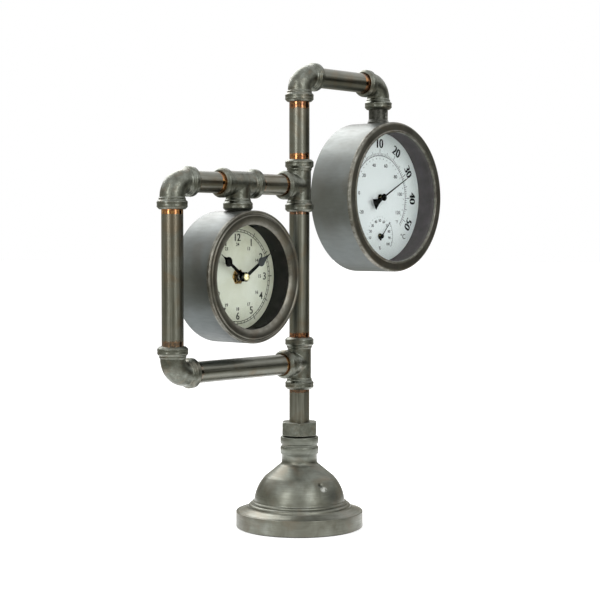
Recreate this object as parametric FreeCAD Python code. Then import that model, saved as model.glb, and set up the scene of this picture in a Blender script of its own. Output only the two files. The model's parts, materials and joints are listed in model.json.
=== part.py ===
import FreeCAD, Part
import math
import os

# Table clock and weather gauge hung on a stand of half-inch pipe and malleable fittings.
# Millimetres. +Z is up and Z = 0 is the table, the dials face -Y, and the riser stands on X = Y = 0.

V = FreeCAD.Vector
LEFT, RIGHT = V(-1, 0, 0), V(1, 0, 0)
FRONT, REAR = V(0, -1, 0), V(0, 1, 0)
DOWN, UP = V(0, 0, -1), V(0, 0, 1)

# Pipe and screwed joints
PIPE_OD = 21.3
PIPE_WALL = 2.6
THREAD_REACH = 11.5
THREAD_GAP = 0.1
PIPE_R = PIPE_OD / 2
BORE_R = PIPE_R - PIPE_WALL
SOCKET_R = PIPE_R + THREAD_GAP

# Malleable fittings, with a band round each mouth
SOCKET_WALL = 1.5
BAND_RISE = 2.85
BAND_BEVEL = 2.5
BAND_FLAT = 4.8
BAND_DISH = 0.3
BAND_SLOPE = 2.4
BAND_VALLEY = 0.5
RIDGE_RISE = 1.15
RIDGE_WIDTH = 2.0
BAND_CORNER_GAP = 0.7
NOTCH_SET_BACK = 0.4
NOTCH_WIDTH = 1.2
NOTCH_DEPTH = 1.0
NOTCH_LENGTH = 3.4
FITTING_R = SOCKET_R + SOCKET_WALL
BAND_R = FITTING_R + BAND_RISE
BAND_LENGTH = BAND_BEVEL + BAND_FLAT + BAND_SLOPE + RIDGE_WIDTH
ELBOW_BEND = BAND_R + BAND_CORNER_GAP
REACH = BAND_LENGTH + ELBOW_BEND

# Foot: felt pad, bell casting with a socket, and a hexagon bush that takes the riser
BASE_R = 67.0
PAD_THICK = 1.2
PAD_INSET = 2.6
RIM_HEIGHT = 17.6
RIM_ROUND = 1.0
RIM_LIP = 0.5
LIP_STEP = 0.6
RIM_WIDTH = 12.8
PLATE_RISE = 4.6
PLATE_SAG = 0.8
SHOULDER_WIDTH = 3.8
SHOULDER_RISE = 3.0
SHOULDER_SWELL = 0.8
BEAD_WIDTH = 1.8
BEAD_RISE = 2.4
BEAD_SWELL = 0.6
BELL_FOOT_WIDTH = 0.6
BELL_FOOT_RISE = 0.4
BELL_CURVE = ((0.139, 14.7), (0.405, 26.1), (0.667, 32.3), (0.898, 38.0))
NECK_WALL = 5.4
NECK_FILLET = 3.4
NECK_LENGTH = 7.7
COLLAR_RISE = 1.5
COLLAR_HEIGHT = 19.1
COLLAR_BEVEL = 1.2
COLLAR_GROOVE_DEPTH = 1.3
COLLAR_GROOVE_WIDTH = 1.4
COLLAR_GROOVE_BELOW = 9.2
COLLAR_SLOPE = 1.5
CAST_WALL = 5.0
BUSH_WALL = 2.45
BUSH_THREAD_LENGTH = 16.0
BUSH_LEDGE = 4.5
BUSH_HEAD = 15.5
BUSH_RELIEF = 1.0
BUSH_RELIEF_WALL = 2.6
BUSH_TURN = 39.8
BUSH_THREAD_R = SOCKET_R + BUSH_WALL
BUSH_FLATS = 2 * (BUSH_THREAD_R + BUSH_LEDGE)
NECK_R = BUSH_THREAD_R + NECK_WALL
PLATE_R = BASE_R - RIM_WIDTH
BEAD_R = PLATE_R - SHOULDER_WIDTH
BELL_FOOT_R = BEAD_R - BEAD_WIDTH - BELL_FOOT_WIDTH
BEAD_TOP = RIM_HEIGHT + PLATE_RISE + SHOULDER_RISE + BEAD_RISE
BELL_TOP = BEAD_TOP + BELL_FOOT_RISE + BELL_CURVE[-1][1]
NECK_TOP = BELL_TOP + NECK_FILLET + NECK_LENGTH
BASE_TOP = NECK_TOP + COLLAR_HEIGHT

# Both round cases: a drum, a front bezel, a flat glass, a pan that holds the dial, and a rear cover
CASE_WALL = 1.5
FIT_GAP = 0.1
SKIRT_WALL = 1.6
SKIRT_LENGTH = 5.0
GLASS_THICK = 2.0
PAN_WALL = 1.2
DIAL_THICK = 0.6
COVER_THICK = 1.5
COVER_INSET = 0.5
CASE_SEAT_GAP = 0.05
LUG_WIDTH = 9.0
LUG_DEPTH = 6.5
LUG_LENGTH = 7.0
LOCK_NUT_WALL = 2.85
LOCK_NUT_THICK = 4.2
LOCK_NUT_FLATS = 2 * (PIPE_R + LOCK_NUT_WALL)
NIPPLE_END = 0.5
WELD_RISE = 1.3
WELD_HEIGHT = 3.6
WELD_SHOULDER = 0.6
SCREW_R = 1.4
SCREW_HEAD_R = 2.7
SCREW_HEAD = 1.7
SCREW_BITE = 5.0
PAN_SCREW_R = 1.0
PAN_SCREW_HEAD_R = 1.9
PAN_SCREW_HEAD = 1.1
PAN_SCREW_BITE = 2.0
SCREW_GAP = 0.05
COVER_SCREW_ANGLES = (60, 180, 300)
PAN_SCREW_ANGLES = (30, 150, 270)

# Clock case
CLOCK_R = 66.4
CLOCK_RIM_WIDTH = 13.9
CLOCK_PAN_STEP = 1.6
CLOCK_BEZEL_THICK = 4.0
CLOCK_GLASS_SET = 3.6
CLOCK_DIAL_Y = 1.4
CLOCK_EDGE_ROUND = 1.6
CLOCK_BEAD_DROP = 0.1
CLOCK_BEAD_WIDTH = 1.8
CLOCK_GROOVE_WIDTH = 0.4
CLOCK_GROOVE_DEPTH = 1.0
CLOCK_CREST_WIDTH = 1.6
CLOCK_LIP_DROP = 3.0
CLOCK_BACK_GAP = 2.0
CLOCK_BACK_CORNER = 5.0
CLOCK_OPENING_R = CLOCK_R - CLOCK_RIM_WIDTH
CLOCK_PAN_R = CLOCK_OPENING_R + CLOCK_PAN_STEP

# Gauge case
GAUGE_R = 82.6
GAUGE_DEPTH = 56.0
GAUGE_RIM_WIDTH = 11.4
GAUGE_PAN_STEP = 0.8
GAUGE_BEZEL_THICK = 5.0
GAUGE_GLASS_SET = 3.0
GAUGE_DIAL_Y = -1.5
GAUGE_LIP_WIDTH = 2.5
GAUGE_LIP_RISE = 0.8
GAUGE_EDGE_ROUND = 3.0
VENT_LENGTH = 26.0
VENT_WIDTH = 3.0
VENT_PITCH = 8.0
VENT_ROWS = 3
GAUGE_OPENING_R = GAUGE_R - GAUGE_RIM_WIDTH
GAUGE_PAN_R = GAUGE_OPENING_R + GAUGE_PAN_STEP

# Where the pipes' axes run: the pipe that shows, and the air left round each case
LOWER_RISER_SHOWS = 34.4
UPPER_RISER_SHOWS = 60.2
CLOCK_AIR_BELOW = 15.75
CLOCK_AIR_INSIDE = 16.65
CLOCK_AIR_OUTSIDE = 14.55
GAUGE_AIR = 40.15
GAUGE_DROP = 14.7
LOWER_ARM_Z = BASE_TOP + BUSH_HEAD + LOWER_RISER_SHOWS + REACH
FRAME_TOP_Z = LOWER_ARM_Z + PIPE_R + CLOCK_AIR_BELOW + 2 * CLOCK_R + REACH
TOP_ARM_Z = FRAME_TOP_Z + UPPER_RISER_SHOWS + 2 * REACH
CLOCK_OFFSET = PIPE_R + CLOCK_AIR_INSIDE + CLOCK_R
FRAME_WIDTH = CLOCK_OFFSET + CLOCK_R + CLOCK_AIR_OUTSIDE + PIPE_R
GAUGE_OFFSET = PIPE_R + GAUGE_AIR + GAUGE_R

# Clock movement, with its hands' arbors
MOVEMENT_WALL = 1.4
MOVEMENT_CORNER = 3.0
MOVEMENT_TO_RIM = 5.2
ROOM_CORNER = 1.5
WASHER_THICK = 0.5
WASHER_LIP = 4.0
BUSH_R = 4.0
BUSH_GAP = 0.1
BUSH_STANDS = 3.2
SHAFT_NUT_FLATS = 14.0
SHAFT_NUT_THICK = 1.2
HOUR_PIPE_R = 2.5
MINUTE_ARBOR_R = 1.6
RUNNING_GAP = 0.08
HOUR_HAND_Y = -6.5
MINUTE_HAND_Y = -9.9
HAND_THICK = 0.5
HAND_GRIP = 0.02
HUB_R = 4.8
HOUR_COLLET_WALL = 1.2
HOUR_COLLET_LENGTH = 2.2
MINUTE_COLLET_R = 2.9
MINUTE_COLLET_LENGTH = 1.6
PIPE_BEYOND_HAND = 0.4
CAP_NUT_R = 4.0
CAP_NUT_LENGTH = 3.6
CAP_NUT_SHOULDER = 1.26
CAP_NUT_BORE = 2.36
ARBOR_IN_CAP = 2.16
HOUR_HAND_MARGIN = 15.7
HOUR_POINT = 12.4
HOUR_LEAF_R = 4.9
HOUR_ANGLE = -54.0
MINUTE_HAND_MARGIN = 4.0
MINUTE_POINT = 22.8
MINUTE_LEAF_R = 4.5
MINUTE_ANGLE = 57.5
HAND_ROOT_WIDTH = 3.8
HAND_NECK_WIDTH = 3.0
HAND_TIP_WIDTH = 0.9
LEAF_SHOULDER_ANGLE = 25.0
LEAF_WAIST_SHARE = 0.22
LEAF_WAIST_AT = 0.42
HOUR_HAND_LENGTH = CLOCK_PAN_R - HOUR_HAND_MARGIN
MINUTE_HAND_LENGTH = CLOCK_PAN_R - MINUTE_HAND_MARGIN

# Motion work behind the dial: cannon pinion, motion wheel and pinion, hour wheel
CANNON_TEETH = 12
MOTION_TEETH = 36
MOTION_PINION_TEETH = 10
HOUR_TEETH = 40
CENTRE_DISTANCE = 9.6
TOOTH_ROOT = 1.15
TOOTH_TIP = 0.85
ROOT_SHARE = 0.29
TIP_SHARE = 0.1
WHEEL_THICK = 1.2
WHEEL_SPACING = 0.9
WHEEL_END_GAP = 0.4
PINION_THICK = 2.2
PINION_OVERHANG = 0.2
MOTION_WHEEL_SET_BACK = 0.5
MOTION_ARBOR_R = 1.0
KNOB_R = 5.2
KNOB_THICK = 2.3
KNOB_WEB = 0.6
KNOB_GAP = 0.3
KNOB_RIBS = 20
MINUTE_MODULE = 2 * CENTRE_DISTANCE / (CANNON_TEETH + MOTION_TEETH)
HOUR_MODULE = 2 * CENTRE_DISTANCE / (HOUR_TEETH + MOTION_PINION_TEETH)

# Cell and its bay in the movement
CELL_R = 7.1
CELL_LENGTH = 49.0
CELL_NUB_R = 2.7
CELL_NUB_LENGTH = 1.4
CELL_GAP = 0.3
CELL_TO_WHEEL = 2.2
BAY_WALL = 1.6
BAY_FLOOR = 1.2
CONTACT_THICK = 0.4
CONTACT_SIZE = 9.0
CONTACT_ROOT = 0.3
CONTACT_CREST = 0.45

# Stepping drive in the movement
COIL_LENGTH = 20.0
COIL_R = 3.4
COIL_CHEEK_R = 4.6
COIL_CHEEK_THICK = 1.0
COIL_TO_WHEEL = 0.46
COIL_TO_WALL = 1.0
COIL_TO_FLOOR = 0.2
BOARD_WIDTH = 40.0
BOARD_HEIGHT = 7.0
BOARD_THICK = 0.8
BOARD_GAP = 0.3
COIL_ABOVE = CENTRE_DISTANCE + (MOTION_TEETH / 2 + TOOTH_TIP) * MINUTE_MODULE + COIL_TO_WHEEL + COIL_R
CELL_BELOW = ((HOUR_TEETH / 2 + TOOTH_TIP) * HOUR_MODULE + CELL_TO_WHEEL + MOVEMENT_WALL
              + CELL_R + CELL_GAP)
BAY_HALF = CELL_LENGTH / 2 + CELL_NUB_LENGTH + CONTACT_THICK + CELL_GAP
MOVEMENT_HALF = BAY_HALF + MOVEMENT_WALL
MOVEMENT_TOP = COIL_ABOVE + COIL_CHEEK_R + COIL_TO_WALL + MOVEMENT_WALL
MOVEMENT_BOTTOM = CELL_BELOW + CELL_R + CELL_GAP + BAY_WALL
MOVEMENT_DEPTH = 2 * (CELL_R + CELL_GAP) + BAY_FLOOR
CLOCK_DEPTH = 2 * (CLOCK_DIAL_Y + DIAL_THICK + PAN_WALL + WASHER_THICK + MOVEMENT_DEPTH + MOVEMENT_TO_RIM)

# Needles of the gauge, each on a spindle that a spiral strip turns
THERMO_MARGIN = 23.1
THERMO_ROOT = 2.0
THERMO_TAIL = 19.2
THERMO_TAIL_SPREAD = 20.0
THERMO_ANGLE = 63.0
THERMO_STAND_OFF = 5.6
THERMO_HUB_R = 4.0
THERMO_HUB_HEIGHT = 1.8
THERMO_SPINDLE_R = 1.0
THERMO_COIL_R = 13.5
THERMO_COIL_TURNS = 3
THERMO_STRIP = 0.6
THERMO_STRIP_WIDTH = 4.5
HYGRO_ABOVE_WALL = 28.7
HYGRO_LENGTH = 21.5
HYGRO_ROOT = 1.2
HYGRO_TAIL = 5.4
HYGRO_TAIL_SPREAD = 24.0
HYGRO_ANGLE = 43.5
HYGRO_STAND_OFF = 3.4
HYGRO_HUB_R = 2.5
HYGRO_HUB_HEIGHT = 1.2
HYGRO_SPINDLE_R = 0.7
HYGRO_COIL_R = 8.0
HYGRO_COIL_TURNS = 2
HYGRO_STRIP = 0.5
HYGRO_STRIP_WIDTH = 3.0
NEEDLE_THICK = 0.4
SPINDLE_BUSH_WALL = 1.4
NEEDLE_TIP_SHARE = 0.2
NEEDLE_EYE_SHARE = 1.3
NEEDLE_WAIST_SHARE = 1.3
NEEDLE_WAIST_AT = 0.42
SPINDLE_BUSH_HEAD = 1.0
SPINDLE_BUSH_LIP = 1.0
SPINDLE_BUSH_REAR = 1.0
SPINDLE_COLLAR = 0.9
HUB_SHOULDER = 0.6
SPINDLE_IN_HUB = 0.5
COIL_STANDS = 1.6
BRACKET_THICK = 1.0
BRACKET_WIDTH = 7.0
BRACKET_FOOT = 4.0
BRACKET_STANDS = 0.8
COIL_GAP = 0.3
THERMO_LENGTH = GAUGE_PAN_R - THERMO_MARGIN
HYGRO_BELOW = GAUGE_PAN_R - HYGRO_ABOVE_WALL

LOWER_TEE = V(0, 0, LOWER_ARM_Z)
UPPER_TEE = V(0, 0, FRAME_TOP_Z)
TOP_ELBOW = V(0, 0, TOP_ARM_Z)
GAUGE_ELBOW = V(GAUGE_OFFSET, 0, TOP_ARM_Z)
FRAME_TOP = V(-FRAME_WIDTH, 0, FRAME_TOP_Z)
FRAME_BOTTOM = V(-FRAME_WIDTH, 0, LOWER_ARM_Z)
CLOCK_TEE = V(-CLOCK_OFFSET, 0, FRAME_TOP_Z)
CLOCK = V(-CLOCK_OFFSET, 0, FRAME_TOP_Z - REACH - CLOCK_R)
GAUGE = V(GAUGE_OFFSET, 0, TOP_ARM_Z - REACH - GAUGE_DROP - GAUGE_R)
HYGRO = GAUGE + DOWN * HYGRO_BELOW

nodes = {}
lock_nuts = []
pan_screws = []
cover_screws = []


def outline(steps):
    """Closed flat face of (across, up) corners in the XZ plane. A pair of corners is an arc."""
    edges = []
    here = steps[0]
    for step in steps[1:] + steps[:1]:
        stops = step if isinstance(step[0], tuple) else (step,)
        points = [V(across, 0, up) for across, up in (here,) + stops]
        if len(points) == 3:
            edges.append(Part.Arc(*points).toShape())
        elif points[0].distanceToPoint(points[1]) > 1e-6:
            edges.append(Part.makeLine(*points))
        here = stops[-1]
    return Part.Face(Part.Wire(edges))


def moved(shape, to, along=UP):
    """The shape with its own +Z turned to `along` and its origin put at `to`."""
    shape.Placement = FreeCAD.Placement(to, FreeCAD.Rotation(UP, along))
    return shape


def turned(steps, at=V(), along=UP):
    """Solid turned about the line through `at`, from (radius, height) corners."""
    return moved(outline(steps).revolve(V(), UP, 360), at, along)


def dome(radius, low, high):
    """Last step of a turned outline: a part of a ball from `radius` at `low` up to the axis at `high`."""
    rise = high - low
    ball = (radius ** 2 + rise ** 2) / (2 * rise)
    half = math.asin(radius / ball) / 2
    return ((ball * math.sin(half), high - ball * (1 - math.cos(half))), (0, high))


def rod(radius, start, end):
    return Part.makeCylinder(radius, (end - start).Length, start, end - start)


def tube(outer, inner, start, end):
    return rod(outer, start, end).cut(rod(inner, start, end))


def across(centre, radius, front, rear):
    """Round bar along Y through `centre`, between two depths."""
    return rod(radius, V(centre.x, front, centre.z), V(centre.x, rear, centre.z))


def ring(centre, outer, inner, front, rear):
    return across(centre, outer, front, rear).cut(across(centre, inner, front, rear))


def slab(centre, width, height, front, rear, corner=0.0):
    """Plate with its face to the front, and round corners where `corner` isn't nought."""
    low = V(centre.x - width / 2, front, centre.z - height / 2)
    shape = Part.makeBox(width, rear - front, height, low)
    if corner:
        upright = [edge for edge in shape.Edges if abs(edge.tangentAt(edge.FirstParameter).y) > 0.99]
        shape = shape.makeFillet(corner, upright)
    return shape


def polar(centre, radius, angle, depth=0.0):
    """Point at a clock angle: degrees clockwise from the top, seen from the front."""
    turn = math.radians(angle)
    return V(centre.x + radius * math.sin(turn), depth, centre.z + radius * math.cos(turn))


def prism(corners, front, rear):
    """Plate along Y over a flat outline whose corners are points."""
    flat = [V(corner.x, front, corner.z) for corner in corners]
    return Part.Face(Part.makePolygon(flat + flat[:1])).extrude(V(0, rear - front, 0))


def hexagon(centre, flats, low, high, along, turn=0.0, bevelled=True):
    """Six-sided bar, with its ends' corners turned off where it is bevelled."""
    corner = flats / math.sqrt(3)
    turns = [math.radians(turn + 60 * side) for side in range(7)]
    points = [V(corner * math.cos(angle), corner * math.sin(angle), low) for angle in turns]
    bar = Part.Face(Part.makePolygon(points)).extrude(V(0, 0, high - low))
    if not bevelled:
        return moved(bar, centre, along)
    bevel = (corner - flats / 2) * 0.6
    rounded = outline([(0, low), (corner - bevel, low), (corner, low + bevel * 0.6),
                       (corner, high - bevel * 0.6), (corner - bevel, high), (0, high)])
    return moved(bar.common(rounded.revolve(V(), UP, 360)), centre, along)


def fused(first, *others):
    return first.multiFuse(list(others)).removeSplitter()


def band(mouth, out):
    """Band round a fitting's mouth, with its face at `mouth`."""
    ridge = RIDGE_WIDTH - BAND_LENGTH
    return turned([(0, 0), (BAND_R - BAND_BEVEL, 0), (BAND_R, -BAND_BEVEL),
                   (BAND_R - BAND_DISH, -BAND_BEVEL - BAND_FLAT / 2), (BAND_R, -BAND_BEVEL - BAND_FLAT),
                   (FITTING_R + BAND_VALLEY, ridge), (FITTING_R + RIDGE_RISE, ridge - RIDGE_WIDTH / 2),
                   (FITTING_R, -BAND_LENGTH), (0, -BAND_LENGTH)], mouth, out)


def bend(centre, arm_a, arm_b, radius):
    """Round bar that turns from one arm into the other."""
    start, end = centre + arm_a * REACH, centre + arm_b * REACH
    bend_a, bend_b = centre + arm_a * ELBOW_BEND, centre + arm_b * ELBOW_BEND
    middle = centre + (arm_a + arm_b) * (ELBOW_BEND * (1 - 1 / math.sqrt(2)))
    path = Part.Wire([Part.makeLine(start, bend_a), Part.Arc(bend_a, middle, bend_b).toShape(),
                      Part.makeLine(bend_b, end)])
    circle = Part.Wire([Part.makeCircle(radius, start, arm_a)])
    return path.makePipeShell([circle], True, False)


def elbow(centre, arm_a, arm_b):
    bands = [band(centre + arm * REACH, arm) for arm in (arm_a, arm_b)]
    body = fused(bend(centre, arm_a, arm_b, FITTING_R), *bands)
    return body.cut(bend(centre, arm_a, arm_b, SOCKET_R))


def notched(body, centre, arm):
    """Small casting notch behind the band of a level arm."""
    back = centre + arm * (ELBOW_BEND - NOTCH_SET_BACK - NOTCH_WIDTH / 2) + UP * (FITTING_R - NOTCH_DEPTH)
    corner = back - V(NOTCH_WIDTH / 2, NOTCH_LENGTH / 2, 0)
    return body.cut(Part.makeBox(NOTCH_WIDTH, NOTCH_LENGTH, 2 * NOTCH_DEPTH, corner))


def tee(centre, run, branch):
    def cross(radius):
        return fused(rod(radius, centre - run * REACH, centre + run * REACH),
                     rod(radius, centre, centre + branch * REACH))
    bands = [band(centre + arm * REACH, arm) for arm in (run, run * -1, branch)]
    return fused(cross(FITTING_R), *bands).cut(cross(SOCKET_R))


def pipe(centre_a, centre_b):
    """Pipe screwed into the facing sockets of two fittings."""
    way = (centre_b - centre_a).normalize()
    sunk = REACH - THREAD_REACH
    return tube(PIPE_R, BORE_R, centre_a + way * sunk, centre_b - way * sunk)


def base():
    """Felt pad, hollow bell casting and the hexagon bush in its socket."""
    nodes["base_pad"] = rod(BASE_R - PAD_INSET, V(), V(0, 0, PAD_THICK))
    rim_in = BASE_R - RIM_ROUND
    rim_low = RIM_HEIGHT - RIM_ROUND
    corner = RIM_ROUND * (1 - 1 / math.sqrt(2))
    lip_in = rim_in - RIM_LIP
    plate_z = RIM_HEIGHT + PLATE_RISE
    bead_z = plate_z + SHOULDER_RISE
    foot_z = BEAD_TOP + BELL_FOOT_RISE
    curve = [(BELL_FOOT_R - share * (BELL_FOOT_R - NECK_R), foot_z + rise) for share, rise in BELL_CURVE]
    neck_z = BELL_TOP + NECK_FILLET
    fillet = (NECK_R + 0.3 * NECK_FILLET, BELL_TOP + 0.45 * NECK_FILLET)
    collar = NECK_R + COLLAR_RISE
    groove_z = BASE_TOP - COLLAR_GROOVE_BELOW
    groove_half = COLLAR_GROOVE_WIDTH / 2
    groove = collar - COLLAR_GROOVE_DEPTH
    outside = [(0, PAD_THICK), (BASE_R, PAD_THICK), (BASE_R, rim_low),
               ((BASE_R - corner, RIM_HEIGHT - corner), (rim_in, RIM_HEIGHT)),
               (lip_in, RIM_HEIGHT - LIP_STEP),
               (((lip_in + PLATE_R) / 2, RIM_HEIGHT + PLATE_RISE / 2 - PLATE_SAG), (PLATE_R, plate_z)),
               ((PLATE_R - SHOULDER_WIDTH / 2 + SHOULDER_SWELL, plate_z + SHOULDER_RISE / 2 + SHOULDER_SWELL),
                (BEAD_R, bead_z)),
               ((BEAD_R - BEAD_WIDTH / 2 + BEAD_SWELL, bead_z + BEAD_RISE / 2 + BEAD_SWELL),
                (BEAD_R - BEAD_WIDTH, BEAD_TOP)),
               (BELL_FOOT_R, foot_z), (curve[0], curve[1]), (curve[2], curve[3]),
               (fillet, (NECK_R, neck_z)), (NECK_R, NECK_TOP), (collar, NECK_TOP + COLLAR_BEVEL),
               (collar, groove_z - groove_half - COLLAR_SLOPE), (groove, groove_z - groove_half),
               (groove, groove_z + groove_half), (collar, groove_z + groove_half + COLLAR_SLOPE),
               (collar, BASE_TOP - 2 * COLLAR_BEVEL),
               ((collar - COLLAR_BEVEL / 3, BASE_TOP - COLLAR_BEVEL / 2), (collar - COLLAR_BEVEL, BASE_TOP)),
               (0, BASE_TOP)]
    hollow = [(0, PAD_THICK), (BASE_R - CAST_WALL, PAD_THICK), (BASE_R - CAST_WALL, RIM_HEIGHT - CAST_WALL),
              (PLATE_R - CAST_WALL, plate_z - CAST_WALL), (BELL_FOOT_R - CAST_WALL, foot_z)]
    hollow += [(r - CAST_WALL, z - CAST_WALL / 2) for r, z in curve[:-1]]
    hollow.append((0, hollow[-1][1]))
    body = turned(outside).cut(turned(hollow))
    body = body.cut(rod(BORE_R, V(0, 0, plate_z), V(0, 0, BASE_TOP)))
    socket_low = BASE_TOP - BUSH_THREAD_LENGTH - THREAD_GAP
    nodes["base_casting"] = body.cut(rod(BUSH_THREAD_R + THREAD_GAP, V(0, 0, socket_low), V(0, 0, BASE_TOP)))

    top = BASE_TOP + BUSH_HEAD
    head_z = BASE_TOP + BUSH_RELIEF
    head = hexagon(V(), BUSH_FLATS, head_z, top, UP, BUSH_TURN)
    bush = fused(head, rod(BUSH_THREAD_R + BUSH_RELIEF_WALL, V(0, 0, BASE_TOP), V(0, 0, head_z)),
                 rod(BUSH_THREAD_R, V(0, 0, BASE_TOP - BUSH_THREAD_LENGTH), V(0, 0, BASE_TOP)))
    nodes["hexagon_bush"] = bush.cut(rod(SOCKET_R, V(0, 0, plate_z), V(0, 0, top)))


def stand():
    """Pipes and fittings of the riser, the left-hand frame and the upper arm."""
    bush_top = V(0, 0, BASE_TOP + BUSH_HEAD)
    nodes["lower_riser"] = tube(PIPE_R, BORE_R, bush_top + DOWN * THREAD_REACH,
                                LOWER_TEE + DOWN * (REACH - THREAD_REACH))
    nodes["lower_tee"] = tee(LOWER_TEE, UP, LEFT)
    nodes["middle_riser"] = pipe(LOWER_TEE, UPPER_TEE)
    nodes["upper_tee"] = tee(UPPER_TEE, UP, LEFT)
    nodes["upper_riser"] = pipe(UPPER_TEE, TOP_ELBOW)
    nodes["top_elbow"] = notched(elbow(TOP_ELBOW, DOWN, RIGHT), TOP_ELBOW, RIGHT)
    nodes["upper_arm"] = pipe(TOP_ELBOW, GAUGE_ELBOW)
    nodes["gauge_elbow"] = elbow(GAUGE_ELBOW, LEFT, DOWN)
    nodes["frame_lower_arm"] = pipe(LOWER_TEE, FRAME_BOTTOM)
    nodes["frame_bottom_elbow"] = elbow(FRAME_BOTTOM, UP, RIGHT)
    nodes["frame_upright"] = pipe(FRAME_BOTTOM, FRAME_TOP)
    nodes["frame_top_elbow"] = notched(elbow(FRAME_TOP, DOWN, RIGHT), FRAME_TOP, RIGHT)
    nodes["frame_outer_nipple"] = pipe(FRAME_TOP, CLOCK_TEE)
    nodes["clock_tee"] = tee(CLOCK_TEE, RIGHT, DOWN)
    nodes["frame_inner_nipple"] = pipe(CLOCK_TEE, UPPER_TEE)


def hung(name, centre, radius, from_z):
    """Nipple through the top of a drum, and the lock nut that grips it from inside."""
    half_nut = LOCK_NUT_FLATS / math.sqrt(3)
    nut_top = math.sqrt((radius - CASE_WALL) ** 2 - half_nut ** 2) - CASE_SEAT_GAP
    nut_low = nut_top - LOCK_NUT_THICK
    low = centre.z + nut_low - NIPPLE_END
    nodes[name + "_nipple"] = tube(PIPE_R, BORE_R, V(centre.x, 0, low), V(centre.x, 0, from_z))
    nut = hexagon(centre, LOCK_NUT_FLATS, nut_low, nut_top, UP, bevelled=False)
    lock_nuts.append(nut.cut(rod(SOCKET_R, centre, centre + UP * radius)))


def drum(name, centre, radius, depth, bezel_thick):
    """Rolled drum with a hole on top for its nipple and lugs inside for the cover's screws."""
    half = depth / 2
    inner = radius - CASE_WALL
    cover_front = half - COVER_INSET - COVER_THICK
    shell = ring(centre, radius, inner, -half + bezel_thick, half)
    shell = shell.cut(rod(SOCKET_R, centre, centre + UP * (radius + 1)))
    for angle in COVER_SCREW_ANGLES:
        lug = Part.makeBox(LUG_WIDTH, LUG_LENGTH, LUG_DEPTH + CASE_WALL / 2,
                           V(-LUG_WIDTH / 2, cover_front - LUG_LENGTH, inner - LUG_DEPTH))
        lug.rotate(V(), REAR, angle)
        lug.translate(centre)
        screw = polar(centre, inner - LUG_DEPTH / 2, angle)
        lug = lug.cut(across(screw, SCREW_R + SCREW_GAP, cover_front - LUG_LENGTH, half))
        shell = shell.fuse(lug)
    nodes[name + "_case"] = shell.removeSplitter()


def cover(centre, radius, depth):
    """Rear cover, flush inside the drum's rim, with its screw holes."""
    rear = depth / 2 - COVER_INSET
    plate = across(centre, radius - CASE_WALL - FIT_GAP, rear - COVER_THICK, rear)
    for angle in COVER_SCREW_ANGLES:
        screw = polar(centre, radius - CASE_WALL - LUG_DEPTH / 2, angle)
        plate = plate.cut(across(screw, SCREW_R + SCREW_GAP, rear - COVER_THICK, rear))
    return plate


def screws(centre, circle, angles, seat, way, shank_r, head_r, head, bite):
    """Pan-head screws on a circle; `way` is where the heads point."""
    outline_steps = [(0, -bite), (shank_r, -bite), (shank_r, 0), (head_r, 0), (head_r, head / 2),
                     (head_r * 0.7, head), (0, head)]
    return [turned(outline_steps, polar(centre, circle, angle, seat), way) for angle in angles]


def pan(centre, case_r, pan_r, glass_rear, dial_y):
    """Pressed pan: a flange behind the bezel, a round wall, and a floor that carries the dial."""
    skirt_in = case_r - CASE_WALL - FIT_GAP - SKIRT_WALL
    floor = dial_y + DIAL_THICK
    body = turned([(0, floor), (pan_r, floor), (pan_r, glass_rear), (skirt_in - FIT_GAP, glass_rear),
                   (skirt_in - FIT_GAP, glass_rear + PAN_WALL), (pan_r + PAN_WALL, glass_rear + PAN_WALL),
                   (pan_r + PAN_WALL, floor + PAN_WALL), (0, floor + PAN_WALL)],
                  V(centre.x, 0, centre.z), REAR)
    circle = (skirt_in + pan_r + PAN_WALL) / 2
    for angle in PAN_SCREW_ANGLES:
        body = body.cut(across(polar(centre, circle, angle), PAN_SCREW_R + SCREW_GAP,
                               glass_rear, glass_rear + PAN_WALL))
    pan_screws.extend(screws(centre, circle, PAN_SCREW_ANGLES, glass_rear + PAN_WALL, REAR,
                             PAN_SCREW_R, PAN_SCREW_HEAD_R, PAN_SCREW_HEAD, PAN_SCREW_BITE))
    return body, circle


def bezel(centre, case_r, opening_r, face_steps, glass_r, glass_front, rear, circle):
    """Bezel from its front outline, with the glass's recess, a skirt into the drum and screw holes."""
    skirt_out = case_r - CASE_WALL - FIT_GAP
    glass_rear = glass_front + GLASS_THICK
    skirt_rear = rear + SKIRT_LENGTH
    steps = face_steps + [(opening_r, glass_front), (glass_r + FIT_GAP, glass_front),
                          (glass_r + FIT_GAP, glass_rear), (skirt_out - SKIRT_WALL, glass_rear),
                          (skirt_out - SKIRT_WALL, skirt_rear), (skirt_out, skirt_rear),
                          (skirt_out, rear), (case_r, rear)]
    body = turned(steps, V(centre.x, 0, centre.z), REAR)
    for angle in PAN_SCREW_ANGLES:
        body = body.cut(across(polar(centre, circle, angle), PAN_SCREW_R + SCREW_GAP,
                               glass_rear - PAN_SCREW_BITE, glass_rear))
    return body


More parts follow.
